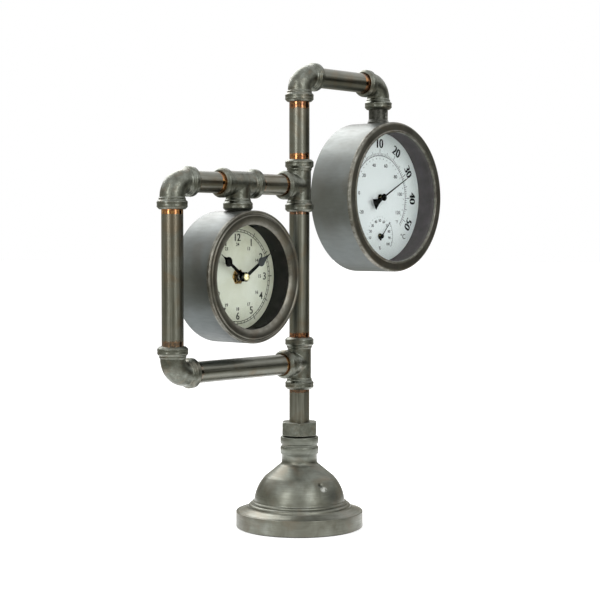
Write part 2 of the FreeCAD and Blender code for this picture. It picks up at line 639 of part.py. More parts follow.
def clock_housing():
    front = -CLOCK_DEPTH / 2
    bezel_rear = front + CLOCK_BEZEL_THICK
    glass_front = front + CLOCK_GLASS_SET
    glass_rear = glass_front + GLASS_THICK
    glass_r = CLOCK_PAN_R + PAN_WALL
    drum("clock", CLOCK, CLOCK_R, CLOCK_DEPTH, CLOCK_BEZEL_THICK)
    pan_body, circle = pan(CLOCK, CLOCK_R, CLOCK_PAN_R, glass_rear, CLOCK_DIAL_Y)
    bush_hole = across(CLOCK, BUSH_R + BUSH_GAP, CLOCK_DIAL_Y, CLOCK_DIAL_Y + DIAL_THICK + PAN_WALL)
    nodes["clock_pan"] = pan_body.cut(bush_hole)
    bead, bead_y = CLOCK_R - CLOCK_EDGE_ROUND, front + CLOCK_BEAD_DROP
    corner = CLOCK_EDGE_ROUND * (1 - 1 / math.sqrt(2))
    groove, groove_y = bead - CLOCK_BEAD_WIDTH, front + CLOCK_GROOVE_DEPTH
    roll = groove - CLOCK_GROOVE_WIDTH
    crest = roll - CLOCK_CREST_WIDTH
    face = [(CLOCK_R, bead_y + CLOCK_EDGE_ROUND), ((CLOCK_R - corner, bead_y + corner), (bead, bead_y)),
            ((bead - 0.6 * CLOCK_BEAD_WIDTH, front + 0.4 * CLOCK_GROOVE_DEPTH), (groove, groove_y)),
            (roll, groove_y),
            ((roll - 0.45 * CLOCK_CREST_WIDTH, front + 0.25 * CLOCK_GROOVE_DEPTH), (crest, front)),
            (((crest + CLOCK_OPENING_R) / 2, front + CLOCK_LIP_DROP / 4),
             (CLOCK_OPENING_R, front + CLOCK_LIP_DROP))]
    nodes["clock_bezel"] = bezel(CLOCK, CLOCK_R, CLOCK_OPENING_R, face, glass_r, glass_front,
                                 bezel_rear, circle)
    nodes["clock_glass"] = across(CLOCK, glass_r, glass_front, glass_rear)
    dial = across(CLOCK, CLOCK_PAN_R - FIT_GAP, CLOCK_DIAL_Y, CLOCK_DIAL_Y + DIAL_THICK)
    nodes["clock_dial"] = dial.cut(bush_hole)
    half = CLOCK_DEPTH / 2
    opening_at = CLOCK + UP * ((MOVEMENT_TOP - MOVEMENT_BOTTOM) / 2)
    opening = slab(opening_at, 2 * (MOVEMENT_HALF + CLOCK_BACK_GAP),
                   MOVEMENT_TOP + MOVEMENT_BOTTOM + 2 * CLOCK_BACK_GAP, 0, half, CLOCK_BACK_CORNER)
    nodes["clock_back_cover"] = cover(CLOCK, CLOCK_R, CLOCK_DEPTH).cut(opening)
    screw_circle = CLOCK_R - CASE_WALL - LUG_DEPTH / 2
    cover_screws.extend(screws(CLOCK, screw_circle, COVER_SCREW_ANGLES, half - COVER_INSET, REAR,
                               SCREW_R, SCREW_HEAD_R, SCREW_HEAD, SCREW_BITE))
    hung("clock", CLOCK, CLOCK_R, CLOCK_TEE.z - REACH + THREAD_REACH)


def gauge_housing():
    front = -GAUGE_DEPTH / 2
    bezel_rear = front + GAUGE_BEZEL_THICK
    glass_front = front + GAUGE_GLASS_SET
    glass_rear = glass_front + GLASS_THICK
    glass_r = GAUGE_PAN_R + PAN_WALL
    drum("gauge", GAUGE, GAUGE_R, GAUGE_DEPTH, GAUGE_BEZEL_THICK)
    pan_body, circle = pan(GAUGE, GAUGE_R, GAUGE_PAN_R, glass_rear, GAUGE_DIAL_Y)
    lip = GAUGE_OPENING_R + GAUGE_LIP_WIDTH
    face_y = front + GAUGE_LIP_RISE
    edge = GAUGE_EDGE_ROUND * (1 - 1 / math.sqrt(2))
    face = [(GAUGE_R, face_y + GAUGE_EDGE_ROUND),
            ((GAUGE_R - edge, face_y + edge), (GAUGE_R - GAUGE_EDGE_ROUND, face_y)),
            (lip, face_y), ((lip - GAUGE_LIP_WIDTH / 2, front), (GAUGE_OPENING_R, face_y))]
    nodes["gauge_bezel"] = bezel(GAUGE, GAUGE_R, GAUGE_OPENING_R, face, glass_r, glass_front,
                                 bezel_rear, circle)
    nodes["gauge_glass"] = across(GAUGE, glass_r, glass_front, glass_rear)
    dial = across(GAUGE, GAUGE_PAN_R - FIT_GAP, GAUGE_DIAL_Y, GAUGE_DIAL_Y + DIAL_THICK)
    spindles = ((GAUGE, THERMO_SPINDLE_R), (HYGRO, HYGRO_SPINDLE_R))
    for centre, spindle_r in spindles:
        hole = across(centre, spindle_r + RUNNING_GAP + SPINDLE_BUSH_WALL + FIT_GAP,
                      GAUGE_DIAL_Y, GAUGE_DIAL_Y + DIAL_THICK + PAN_WALL)
        dial = dial.cut(hole)
        pan_body = pan_body.cut(hole)
    nodes["gauge_dial"] = dial
    nodes["gauge_pan"] = pan_body
    half = GAUGE_DEPTH / 2
    plate = cover(GAUGE, GAUGE_R, GAUGE_DEPTH)
    for row in range(VENT_ROWS):
        height = VENT_PITCH * (row - (VENT_ROWS - 1) / 2)
        for side in (LEFT, RIGHT):
            middle = GAUGE + side * (VENT_LENGTH / 2 + VENT_PITCH / 2) + UP * height
            plate = plate.cut(slab(middle, VENT_LENGTH, VENT_WIDTH, 0, half))
    nodes["gauge_back_cover"] = plate
    screw_circle = GAUGE_R - CASE_WALL - LUG_DEPTH / 2
    cover_screws.extend(screws(GAUGE, screw_circle, COVER_SCREW_ANGLES, half - COVER_INSET, REAR,
                               SCREW_R, SCREW_HEAD_R, SCREW_HEAD, SCREW_BITE))
    hung("gauge", GAUGE, GAUGE_R, GAUGE_ELBOW.z - REACH + THREAD_REACH)
    top = GAUGE.z + GAUGE_R
    weld_r = PIPE_R + WELD_RISE
    weld = turned([(BORE_R, -WELD_HEIGHT), (weld_r, -WELD_HEIGHT), (weld_r, WELD_SHOULDER),
                   (PIPE_R, WELD_HEIGHT), (BORE_R, WELD_HEIGHT)], V(GAUGE.x, 0, top))
    weld = weld.cut(across(GAUGE, GAUGE_R + CASE_SEAT_GAP, -GAUGE_DEPTH, GAUGE_DEPTH))
    nodes["gauge_nipple"] = fused(nodes["gauge_nipple"], weld)


def wheel(centre, teeth, module, front, rear, tooth_at):
    """Spur wheel in the XZ plane, with thinned straight-sided teeth; one tooth stands at `tooth_at`."""
    root_r = (teeth / 2 - TOOTH_ROOT) * module
    tip_r = (teeth / 2 + TOOTH_TIP) * module
    step = 360 / teeth
    flanks = ((root_r, -ROOT_SHARE), (tip_r, -TIP_SHARE), (tip_r, TIP_SHARE), (root_r, ROOT_SHARE))
    corners = []
    for tooth in range(teeth):
        middle = tooth_at + tooth * step
        corners += [polar(centre, radius, middle + share * step) for radius, share in flanks]
    return prism(corners, front, rear)


def spade_hand(centre, angle, length, point_length, leaf_r, bore_r, depth):
    """Flat hand: hub, tapering stem, round leaf and a point drawn in to a needle."""
    leaf_at = length - point_length
    front, rear = depth - HAND_THICK / 2, depth + HAND_THICK / 2
    stem = prism([V(-HAND_ROOT_WIDTH / 2, 0, 0), V(HAND_ROOT_WIDTH / 2, 0, 0),
                  V(HAND_NECK_WIDTH / 2, 0, leaf_at), V(-HAND_NECK_WIDTH / 2, 0, leaf_at)], front, rear)
    lean = math.radians(LEAF_SHOULDER_ANGLE)
    side = leaf_r * math.cos(lean)
    shoulder = leaf_at + leaf_r * math.sin(lean)
    waist = leaf_r * LEAF_WAIST_SHARE
    waist_at = shoulder + (length - shoulder) * LEAF_WAIST_AT
    tip = HAND_TIP_WIDTH / 2
    point = outline([(side, shoulder), ((waist, waist_at), (tip, length)), (-tip, length),
                     ((-waist, waist_at), (-side, shoulder))])
    point.translate(V(0, front, 0))
    hand = fused(across(V(), HUB_R, front, rear), stem, across(V(0, 0, leaf_at), leaf_r, front, rear),
                 point.extrude(V(0, HAND_THICK, 0)))
    hand = hand.cut(across(V(), bore_r, front, rear))
    hand.rotate(V(), REAR, angle)
    hand.translate(V(centre.x, 0, centre.z))
    return hand


def movement():
    """Quartz movement behind the pan, its motion work and hands, and the cell in its bay."""
    floor_rear = CLOCK_DIAL_Y + DIAL_THICK + PAN_WALL
    front = floor_rear + WASHER_THICK
    rear = front + MOVEMENT_DEPTH
    inside = front + MOVEMENT_WALL
    nut_front = CLOCK_DIAL_Y - SHAFT_NUT_THICK
    bush_end = CLOCK_DIAL_Y - BUSH_STANDS
    hour_bore = HOUR_PIPE_R + RUNNING_GAP
    nodes["shaft_washer"] = ring(CLOCK, BUSH_R + WASHER_LIP, BUSH_R + BUSH_GAP, floor_rear, front)
    nut = hexagon(V(CLOCK.x, 0, CLOCK.z), SHAFT_NUT_FLATS, nut_front, CLOCK_DIAL_Y, REAR)
    nodes["shaft_nut"] = nut.cut(across(CLOCK, BUSH_R + HAND_GRIP, nut_front, CLOCK_DIAL_Y))

    cell = CLOCK + DOWN * CELL_BELOW
    cell_y = rear - CELL_R - CELL_GAP
    bay_r = CELL_R + CELL_GAP
    motion = CLOCK + UP * CENTRE_DISTANCE
    middle = CLOCK + UP * ((MOVEMENT_TOP - MOVEMENT_BOTTOM) / 2)
    shell = slab(middle, 2 * MOVEMENT_HALF, MOVEMENT_TOP + MOVEMENT_BOTTOM, front, rear, MOVEMENT_CORNER)
    room_low = cell.z + bay_r + MOVEMENT_WALL
    room_top = CLOCK.z + MOVEMENT_TOP - MOVEMENT_WALL
    room = V(CLOCK.x, 0, (room_low + room_top) / 2)
    room_high = room_top - room_low
    shell = shell.cut(slab(room, 2 * BAY_HALF, room_high, inside, rear, ROOM_CORNER))
    shell = shell.cut(slab(cell, 2 * BAY_HALF, 2 * bay_r, cell_y, rear))
    bay_end = V(cell.x - BAY_HALF, cell_y, cell.z)
    shell = shell.cut(rod(bay_r, bay_end, bay_end + RIGHT * (2 * BAY_HALF)))
    shell = fused(shell, across(CLOCK, BUSH_R, bush_end, front))
    shell = shell.cut(across(CLOCK, hour_bore, bush_end, inside))
    nodes["movement_housing"] = shell.cut(across(motion, MOTION_ARBOR_R + RUNNING_GAP, front, inside))
    lid = slab(room, 2 * (BAY_HALF - FIT_GAP), room_high - 2 * FIT_GAP, rear - MOVEMENT_WALL, rear,
               ROOM_CORNER)
    for centre, radius in ((CLOCK, MINUTE_ARBOR_R), (motion, MOTION_ARBOR_R)):
        lid = lid.cut(across(centre, radius + RUNNING_GAP, rear - MOVEMENT_WALL, rear))
    nodes["movement_lid"] = lid

    hour_front = inside + WHEEL_END_GAP
    hour_rear = hour_front + WHEEL_THICK
    hour_pipe_end = HOUR_HAND_Y - HAND_THICK / 2 - PIPE_BEYOND_HAND
    hour = fused(wheel(CLOCK, HOUR_TEETH, HOUR_MODULE, hour_front, hour_rear, 0),
                 across(CLOCK, HOUR_PIPE_R, hour_pipe_end, hour_front))
    nodes["hour_wheel"] = hour.cut(across(CLOCK, MINUTE_ARBOR_R + RUNNING_GAP, hour_pipe_end, hour_rear))
    cannon_front = hour_rear + WHEEL_SPACING
    cap_seat = MINUTE_HAND_Y - HAND_THICK / 2
    cannon = wheel(CLOCK, CANNON_TEETH, MINUTE_MODULE, cannon_front, cannon_front + PINION_THICK, 0)
    nodes["minute_arbor"] = fused(across(CLOCK, MINUTE_ARBOR_R, cap_seat - ARBOR_IN_CAP, rear - RUNNING_GAP),
                                  cannon)
    motion_front = cannon_front + MOTION_WHEEL_SET_BACK
    knob_front = rear + KNOB_GAP
    knob_rear = knob_front + KNOB_THICK
    motion_wheel = wheel(motion, MOTION_TEETH, MINUTE_MODULE, motion_front, motion_front + WHEEL_THICK,
                         180 / MOTION_TEETH)
    pinion = wheel(motion, MOTION_PINION_TEETH, HOUR_MODULE, hour_front - PINION_OVERHANG, motion_front,
                   180 / MOTION_PINION_TEETH)
    arbor = across(motion, MOTION_ARBOR_R, front + KNOB_GAP, knob_rear - KNOB_WEB)
    nodes["motion_wheel"] = fused(motion_wheel, pinion, arbor)
    knob = wheel(motion, KNOB_RIBS, 2 * KNOB_R / KNOB_RIBS, knob_front, knob_rear, 0)
    knob = knob.common(across(motion, KNOB_R, knob_front, knob_rear))
    bore = across(motion, MOTION_ARBOR_R + HAND_GRIP, knob_front, knob_rear - KNOB_WEB)
    nodes["setting_knob"] = knob.cut(bore)

    hand = spade_hand(CLOCK, HOUR_ANGLE, HOUR_HAND_LENGTH, HOUR_POINT, HOUR_LEAF_R,
                      HOUR_PIPE_R + HAND_GRIP, HOUR_HAND_Y)
    collet = ring(CLOCK, HOUR_PIPE_R + HOUR_COLLET_WALL, HOUR_PIPE_R + HAND_GRIP,
                  HOUR_HAND_Y, HOUR_HAND_Y + HOUR_COLLET_LENGTH)
    nodes["hour_hand"] = fused(hand, collet)
    hand = spade_hand(CLOCK, MINUTE_ANGLE, MINUTE_HAND_LENGTH, MINUTE_POINT, MINUTE_LEAF_R,
                      MINUTE_ARBOR_R + HAND_GRIP, MINUTE_HAND_Y)
    collet = ring(CLOCK, MINUTE_COLLET_R, MINUTE_ARBOR_R + HAND_GRIP,
                  MINUTE_HAND_Y, MINUTE_HAND_Y + MINUTE_COLLET_LENGTH)
    nodes["minute_hand"] = fused(hand, collet)
    cap = turned([(0, 0), (CAP_NUT_R, 0), (CAP_NUT_R, CAP_NUT_SHOULDER),
                  dome(CAP_NUT_R, CAP_NUT_SHOULDER, CAP_NUT_LENGTH)], V(CLOCK.x, cap_seat, CLOCK.z), FRONT)
    cap_bore = across(CLOCK, MINUTE_ARBOR_R + HAND_GRIP, cap_seat - CAP_NUT_BORE, cap_seat)
    nodes["hand_cap_nut"] = cap.cut(cap_bore)

    cell_at = V(cell.x, cell_y, cell.z)
    end = cell_at + LEFT * (CELL_LENGTH / 2)
    nub = end + RIGHT * CELL_LENGTH
    nodes["cell"] = fused(rod(CELL_R, end, nub), rod(CELL_NUB_R, nub, nub + RIGHT * CELL_NUB_LENGTH))
    gap = BAY_HALF - CELL_LENGTH / 2
    half = CONTACT_SIZE / 2
    root, crest = half - CONTACT_ROOT * CONTACT_SIZE, half - CONTACT_CREST * CONTACT_SIZE
    contacts = []
    for way, reach in ((-1, gap), (1, gap - CELL_NUB_LENGTH)):
        leaf = outline([(0, -half), (CONTACT_THICK, -half), (CONTACT_THICK, -root), (reach, -crest),
                        (reach, crest), (CONTACT_THICK, root), (CONTACT_THICK, half), (0, half)])
        leaf = leaf.extrude(V(0, CONTACT_SIZE, 0))
        leaf.translate(V(0, -half, 0))
        if way > 0:
            leaf.rotate(V(), UP, 180)
        leaf.translate(cell_at + RIGHT * (way * BAY_HALF))
        contacts.append(leaf)
    nodes["cell_contacts"] = Part.makeCompound(contacts)

    coil = CLOCK + UP * COIL_ABOVE
    depth = inside + COIL_CHEEK_R + COIL_TO_FLOOR
    left = V(coil.x - COIL_LENGTH / 2, depth, coil.z)
    span = RIGHT * COIL_LENGTH
    cheek = RIGHT * COIL_CHEEK_THICK
    nodes["drive_coil"] = fused(rod(COIL_R, left, left + span), rod(COIL_CHEEK_R, left, left + cheek),
                                rod(COIL_CHEEK_R, left + span - cheek, left + span))
    board = V(CLOCK.x, 0, room_top - BOARD_HEIGHT / 2 - BOARD_GAP)
    board_front = depth + COIL_CHEEK_R + BOARD_GAP
    nodes["circuit_board"] = slab(board, BOARD_WIDTH, BOARD_HEIGHT, board_front, board_front + BOARD_THICK)


def spiral(centre, inner, outer, turns, strip, front, rear, tail_length):
    """Flat strip wound outwards in half-circles that share two centres, with a straight tail."""
    step = (outer - inner) / turns / 2
    sides = []
    for offset in (strip / 2, -strip / 2):
        edges = []
        for half in range(2 * turns):
            way = 1 if half % 2 == 0 else -1
            middle = V(centre.x + way * step / 2, front, centre.z)
            radius = inner + step / 2 + half * step + offset
            side = RIGHT * (way * radius)
            edges.append(Part.Arc(middle - side, middle + UP * (way * radius), middle + side).toShape())
        sides.append(edges)
    starts = [edges[0].valueAt(edges[0].FirstParameter) for edges in sides]
    ends = [edges[-1].valueAt(edges[-1].LastParameter) for edges in sides]
    loop = sides[0] + [Part.makeLine(ends[0], ends[1])] + sides[1] + [Part.makeLine(starts[1], starts[0])]
    wound = Part.Face(Part.Wire(Part.__sortEdges__(loop))).extrude(V(0, rear - front, 0))
    tail = V((ends[0].x + ends[1].x) / 2, 0, centre.z - tail_length / 2)
    return fused(wound, slab(tail, strip, tail_length, front, rear))


def needle(centre, angle, length, tail, spread, bore_r, root, depth):
    """Pointer: a tapering arm and a fan that balances it."""
    front, rear = depth, depth + NEEDLE_THICK
    tip = root * NEEDLE_TIP_SHARE
    arm = prism([V(-root / 2, 0, 0), V(root / 2, 0, 0), V(tip, 0, length), V(-tip, 0, length)], front, rear)
    turn = math.radians(spread)
    waist, waist_at = root * NEEDLE_WAIST_SHARE, -tail * NEEDLE_WAIST_AT
    side_x, side_z = tail * math.sin(turn), -tail * math.cos(turn)
    fan = outline([(root, 0), (-root, 0), ((-waist, waist_at), (-side_x, side_z)),
                   ((0, -tail), (side_x, side_z)), ((waist, waist_at), (root, 0))])
    fan.translate(V(0, front, 0))
    eye = across(V(), root * NEEDLE_EYE_SHARE, front, rear)
    body = fused(arm, fan.extrude(V(0, NEEDLE_THICK, 0)), eye)
    body = body.cut(across(V(), bore_r, front, rear))
    body.rotate(V(), REAR, angle)
    body.translate(V(centre.x, 0, centre.z))
    return body


def pointer_work(name, centre, angle, length, tail, spread, stand_off, hub_r, hub_height, spindle_r,
                 coil_r, coil_turns, strip, strip_width, root):
    """Needle, hub, spindle, bush, spiral strip and bracket of one reading."""
    floor = GAUGE_DIAL_Y + DIAL_THICK
    floor_rear = floor + PAN_WALL
    bush_r = spindle_r + RUNNING_GAP + SPINDLE_BUSH_WALL
    needle_y = GAUGE_DIAL_Y - stand_off
    bush_front = GAUGE_DIAL_Y - SPINDLE_BUSH_HEAD
    coil_front = floor_rear + COIL_STANDS
    coil_rear = coil_front + strip_width
    bracket_front = coil_rear + BRACKET_STANDS
    bracket_rear = bracket_front + BRACKET_THICK
    bore_r = spindle_r + RUNNING_GAP
    nodes[name + "_bush"] = fused(ring(centre, bush_r, bore_r, bush_front, floor_rear + SPINDLE_BUSH_REAR),
                                  ring(centre, bush_r + SPINDLE_BUSH_LIP, bore_r, bush_front, GAUGE_DIAL_Y))
    collar_r = spindle_r + SPINDLE_COLLAR
    spindle_front = needle_y - hub_height * SPINDLE_IN_HUB
    nodes[name + "_spindle"] = fused(across(centre, spindle_r, spindle_front, bracket_rear),
                                     across(centre, collar_r, coil_front, coil_rear))
    pointer = needle(centre, angle, length, tail, spread, spindle_r + HAND_GRIP, root, needle_y)
    shoulder = hub_height * HUB_SHOULDER
    hub = turned([(0, 0), (hub_r, 0), (hub_r, shoulder), dome(hub_r, shoulder, hub_height)],
                 V(centre.x, needle_y, centre.z), FRONT)
    hub = hub.cut(across(centre, spindle_r + HAND_GRIP, needle_y - shoulder, needle_y))
    nodes[name + "_needle"] = fused(pointer, hub)
    inner = collar_r + COIL_GAP + strip / 2
    nodes[name + "_coil"] = spiral(centre, inner, coil_r, coil_turns, strip, coil_front, coil_rear,
                                   BRACKET_WIDTH / 2)
    post = coil_r + strip / 2 + BRACKET_THICK / 2
    bracket = slab(centre, 2 * post + BRACKET_THICK, BRACKET_WIDTH, bracket_front, bracket_rear)
    for way in (LEFT, RIGHT):
        leg = slab(centre + way * post, BRACKET_THICK, BRACKET_WIDTH, floor_rear, bracket_front)
        foot = slab(centre + way * (post + BRACKET_FOOT / 2), BRACKET_FOOT + BRACKET_THICK, BRACKET_WIDTH,
                    floor_rear, floor_rear + BRACKET_THICK)
        bracket = bracket.fuse([leg, foot])
    bracket = bracket.cut(across(centre, bore_r, bracket_front, bracket_rear))
    nodes[name + "_bracket"] = bracket.removeSplitter()


base()
stand()
clock_housing()
gauge_housing()
movement()
pointer_work("thermometer", GAUGE, THERMO_ANGLE, THERMO_LENGTH, THERMO_TAIL, THERMO_TAIL_SPREAD,
             THERMO_STAND_OFF, THERMO_HUB_R, THERMO_HUB_HEIGHT, THERMO_SPINDLE_R, THERMO_COIL_R,
             THERMO_COIL_TURNS, THERMO_STRIP, THERMO_STRIP_WIDTH, THERMO_ROOT)
pointer_work("hygrometer", HYGRO, HYGRO_ANGLE, HYGRO_LENGTH, HYGRO_TAIL, HYGRO_TAIL_SPREAD, HYGRO_STAND_OFF,
             HYGRO_HUB_R, HYGRO_HUB_HEIGHT, HYGRO_SPINDLE_R, HYGRO_COIL_R, HYGRO_COIL_TURNS, HYGRO_STRIP,
             HYGRO_STRIP_WIDTH, HYGRO_ROOT)

nodes["lock_nuts"] = Part.makeCompound(lock_nuts)
nodes["pan_screws"] = Part.makeCompound(pan_screws)
nodes["cover_screws"] = Part.makeCompound(cover_screws)

os.makedirs("parts", exist_ok=True)
for name, shape in nodes.items():
    valid = shape.isValid() and all(solid.Volume > 0 for solid in shape.Solids)
    print(name, len(shape.Solids), round(shape.Volume, 1), "valid" if valid else "INVALID")
    shape.exportStep("parts/" + name + ".step")
print(len(nodes), "nodes")
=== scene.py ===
import json
import math

import bpy
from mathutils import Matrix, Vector

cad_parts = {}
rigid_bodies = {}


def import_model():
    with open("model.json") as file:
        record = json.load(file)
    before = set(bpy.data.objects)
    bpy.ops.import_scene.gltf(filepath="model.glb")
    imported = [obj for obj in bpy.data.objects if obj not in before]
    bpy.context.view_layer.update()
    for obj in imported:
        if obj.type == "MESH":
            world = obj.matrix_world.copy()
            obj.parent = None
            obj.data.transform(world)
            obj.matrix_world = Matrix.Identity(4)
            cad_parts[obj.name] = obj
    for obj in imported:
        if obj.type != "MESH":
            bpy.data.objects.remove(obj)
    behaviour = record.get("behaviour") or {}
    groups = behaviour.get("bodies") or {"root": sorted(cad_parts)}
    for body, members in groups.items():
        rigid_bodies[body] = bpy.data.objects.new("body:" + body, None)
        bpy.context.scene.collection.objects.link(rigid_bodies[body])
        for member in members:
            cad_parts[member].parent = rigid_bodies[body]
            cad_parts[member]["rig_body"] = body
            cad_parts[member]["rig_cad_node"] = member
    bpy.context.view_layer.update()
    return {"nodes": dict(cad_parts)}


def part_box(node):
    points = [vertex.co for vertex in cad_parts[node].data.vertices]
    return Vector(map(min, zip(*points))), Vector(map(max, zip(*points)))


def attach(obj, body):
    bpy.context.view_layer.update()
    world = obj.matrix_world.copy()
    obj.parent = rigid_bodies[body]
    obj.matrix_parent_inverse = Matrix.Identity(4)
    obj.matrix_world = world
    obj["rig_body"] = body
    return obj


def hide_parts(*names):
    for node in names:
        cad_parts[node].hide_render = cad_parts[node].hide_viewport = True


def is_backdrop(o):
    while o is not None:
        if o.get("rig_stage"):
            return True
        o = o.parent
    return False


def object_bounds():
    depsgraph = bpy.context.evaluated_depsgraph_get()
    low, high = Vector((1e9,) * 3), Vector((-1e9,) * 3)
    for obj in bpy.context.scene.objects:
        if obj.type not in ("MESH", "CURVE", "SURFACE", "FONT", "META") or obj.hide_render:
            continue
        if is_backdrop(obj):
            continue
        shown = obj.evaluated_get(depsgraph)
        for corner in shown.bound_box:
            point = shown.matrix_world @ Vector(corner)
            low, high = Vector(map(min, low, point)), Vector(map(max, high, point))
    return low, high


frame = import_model()
nodes = frame["nodes"]
MM = 0.001

# Felt pad under the foot: a disc of pressed black felt, glued inside the casting's rim.
# It's hardly seen, but it is what the stand rests on.
FELT = (0.018, 0.018, 0.019)
FELT_LIGHT = (0.05, 0.05, 0.052)
FIBRE = 0.6 * MM


def finish(name, metal, rough, **sockets):
    """A new material and its shader, with what is the same all over set on the shader."""
    material = bpy.data.materials.new(name)
    material.use_nodes = True
    shader = material.node_tree.nodes["Principled BSDF"]
    shader.inputs["Metallic"].default_value = metal
    shader.inputs["Roughness"].default_value = rough
    for socket, value in sockets.items():
        shader.inputs[socket.replace("_", " ").title().replace("Ior", "IOR")].default_value = value
    return material, shader


def put(shader, kind, settings=None, **links):
    """A node beside the shader; `links` give its inputs by name or as iN, as sockets or as numbers."""
    node = shader.id_data.nodes.new(kind)
    for key, value in (settings or {}).items():
        setattr(node, key, value)
    for key, value in links.items():
        socket = node.inputs[int(key[1:])] if key[1:].isdigit() else node.inputs[key.replace("_", " ")]
        if isinstance(value, bpy.types.NodeSocket):
            shader.id_data.links.new(value, socket)
        else:
            socket.default_value = value
    return node


def sum_of(shader, how, first, second=0.0):
    return put(shader, "ShaderNodeMath", {"operation": how}, i0=first, i1=second).outputs[0]


def spot(shader):
    return put(shader, "ShaderNodeTexCoord").outputs["Object"]


def grain(shader, size, stretch=(1, 1, 1), detail=4.0, rough=0.55, warp=0.0):
    """Cloudy pattern whose spots are `size` metres across, longer along an axis with a small stretch."""
    scaled = put(shader, "ShaderNodeMapping", i0=spot(shader), Scale=stretch).outputs[0]
    noise = put(shader, "ShaderNodeTexNoise", Vector=scaled, Scale=1 / size, Detail=detail,
                Roughness=rough, Distortion=warp)
    return noise.outputs["Fac"]


def away(shader, centre, stretch=(1, 1, 1)):
    """Distance in metres from a point of the part."""
    moved = put(shader, "ShaderNodeVectorMath", {"operation": "SUBTRACT"}, i0=spot(shader), i1=centre).outputs[0]
    scaled = put(shader, "ShaderNodeVectorMath", {"operation": "MULTIPLY"}, i0=moved, i1=stretch).outputs[0]
    return put(shader, "ShaderNodeVectorMath", {"operation": "LENGTH"}, i0=scaled).outputs[1]


def ramp(shader, factor, *stops):
    """Colour from a factor; each stop is a place and a colour."""
    node = put(shader, "ShaderNodeValToRGB", Fac=factor)
    band = node.color_ramp
    while len(band.elements) < len(stops):
        band.elements.new(0.5)
    for element, (place, colour) in zip(band.elements, stops):
        element.position = place
        element.color = (*colour, 1.0)
    return node.outputs["Color"]


def graded(shader, factor, low, high, to_low, to_high):
    """A factor's range turned into another range, and held at its ends."""
    return put(shader, "ShaderNodeMapRange", i0=factor, i1=low, i2=high, i3=to_low, i4=to_high).outputs[0]


def blended(shader, factor, under, over):
    """One colour under another, which covers it by the factor."""
    node = put(shader, "ShaderNodeMix", {"data_type": "RGBA"}, i0=factor)
    for socket, value in ((node.inputs[6], under), (node.inputs[7], over)):
        if isinstance(value, bpy.types.NodeSocket):
            shader.id_data.links.new(value, socket)
        else:
            socket.default_value = (*value, 1.0)
    return node.outputs[2]


def coloured(shader, colour):
    shader.id_data.links.new(colour, shader.inputs["Base Color"])


def roughened(shader, factor):
    shader.id_data.links.new(factor, shader.inputs["Roughness"])


def bumped(shader, *layers):
    """Relief in layers, each a factor and the depth in metres between its 0 and its 1."""
    normal = None
    for factor, depth in layers:
        node = put(shader, "ShaderNodeBump", Height=factor, Distance=depth)
        if normal:
            shader.id_data.links.new(normal, node.inputs["Normal"])
        normal = node.outputs["Normal"]
    shader.id_data.links.new(normal, shader.inputs["Normal"])


def wear(material, *names):
    """The nodes' slots take this material."""
    for name in names:
        nodes[name].data.materials.clear()
        nodes[name].data.materials.append(material)


felt, shader = finish("felt", 0.0, 0.95, sheen_weight=0.4)
fibres = grain(shader, FIBRE, stretch=(1, 1, 3))
coloured(shader, ramp(shader, fibres, (0.35, FELT), (0.7, FELT_LIGHT)))
bumped(shader, (fibres, 0.25 * MM))
wear(felt, "base_pad")

# Foot: a grey iron casting, turned outside, with a bell, a bead and a collar for the bush.
# Under its clear lacquer it keeps the rings of its turning, brown clouds, a rubbed patch and one dent.
IRON = (0.186, 0.196, 0.165)
IRON_DARK = (0.105, 0.109, 0.088)
IRON_PALE = (0.28, 0.298, 0.265)
IRON_BROWN = (0.178, 0.148, 0.106)
IRON_BRIGHT = (0.55, 0.56, 0.52)
IRON_DENT_DARK = (0.035, 0.036, 0.03)
DENT = Vector((-10.7, -38.9, 48.8)) * MM
DENT_WAY = Vector((0.21, 0.78, -0.58))
DENT_REACH = 4.0 * MM
DENT_DEPTH = 1.5 * MM
DENT_STEEP = 2.2
DENT_FLECKS = Vector((-9.2, -42.0, 44.6)) * MM
RUBBED_PATCH = Vector((-65.5, -14.2, 8.0)) * MM
FOOT_STEPS = 220


def iron_colour(shader, streak, cloud_size):
    """Cloudy grey, brown in places, darker along the tool's marks; also gives the marks."""
    cloud = grain(shader, cloud_size, detail=5, warp=0.6)
    drawn = grain(shader, 5 * MM, stretch=streak, detail=6, rough=0.65)
    brown = grain(shader, 1.4 * cloud_size, detail=3, warp=1.2)
    colour = ramp(shader, cloud, (0.3, IRON_DARK), (0.5, IRON), (0.74, IRON_PALE))
    colour = blended(shader, graded(shader, drawn, 0.35, 0.75, 0.0, 0.5), colour, IRON_DARK)
    colour = blended(shader, graded(shader, brown, 0.5, 0.7, 0.0, 0.6), colour, IRON_BROWN)
    return colour, drawn


def copy_of(name, piece_name):
    """A merged copy of a node's mesh, which stands for the node."""
    piece = nodes[name].copy()
    piece.data = nodes[name].data.copy()
    piece.name = piece_name
    piece.parent = None
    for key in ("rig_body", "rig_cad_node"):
        del piece[key]
    bpy.context.scene.collection.objects.link(piece)
    bpy.ops.object.select_all(action="DESELECT")
    piece.select_set(True)
    bpy.context.view_layer.objects.active = piece
    bpy.ops.object.mode_set(mode="EDIT")
    bpy.ops.mesh.select_all(action="SELECT")
    bpy.ops.mesh.remove_doubles(threshold=0.002 * MM)
    bpy.ops.object.mode_set(mode="OBJECT")
    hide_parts(name)
    return piece


def dressed(piece, material, body="stand"):
    """A piece gets its only material, and the body that carries it."""
    piece.data.materials.clear()
    piece.data.materials.append(material)
    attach(piece, body)
    return piece


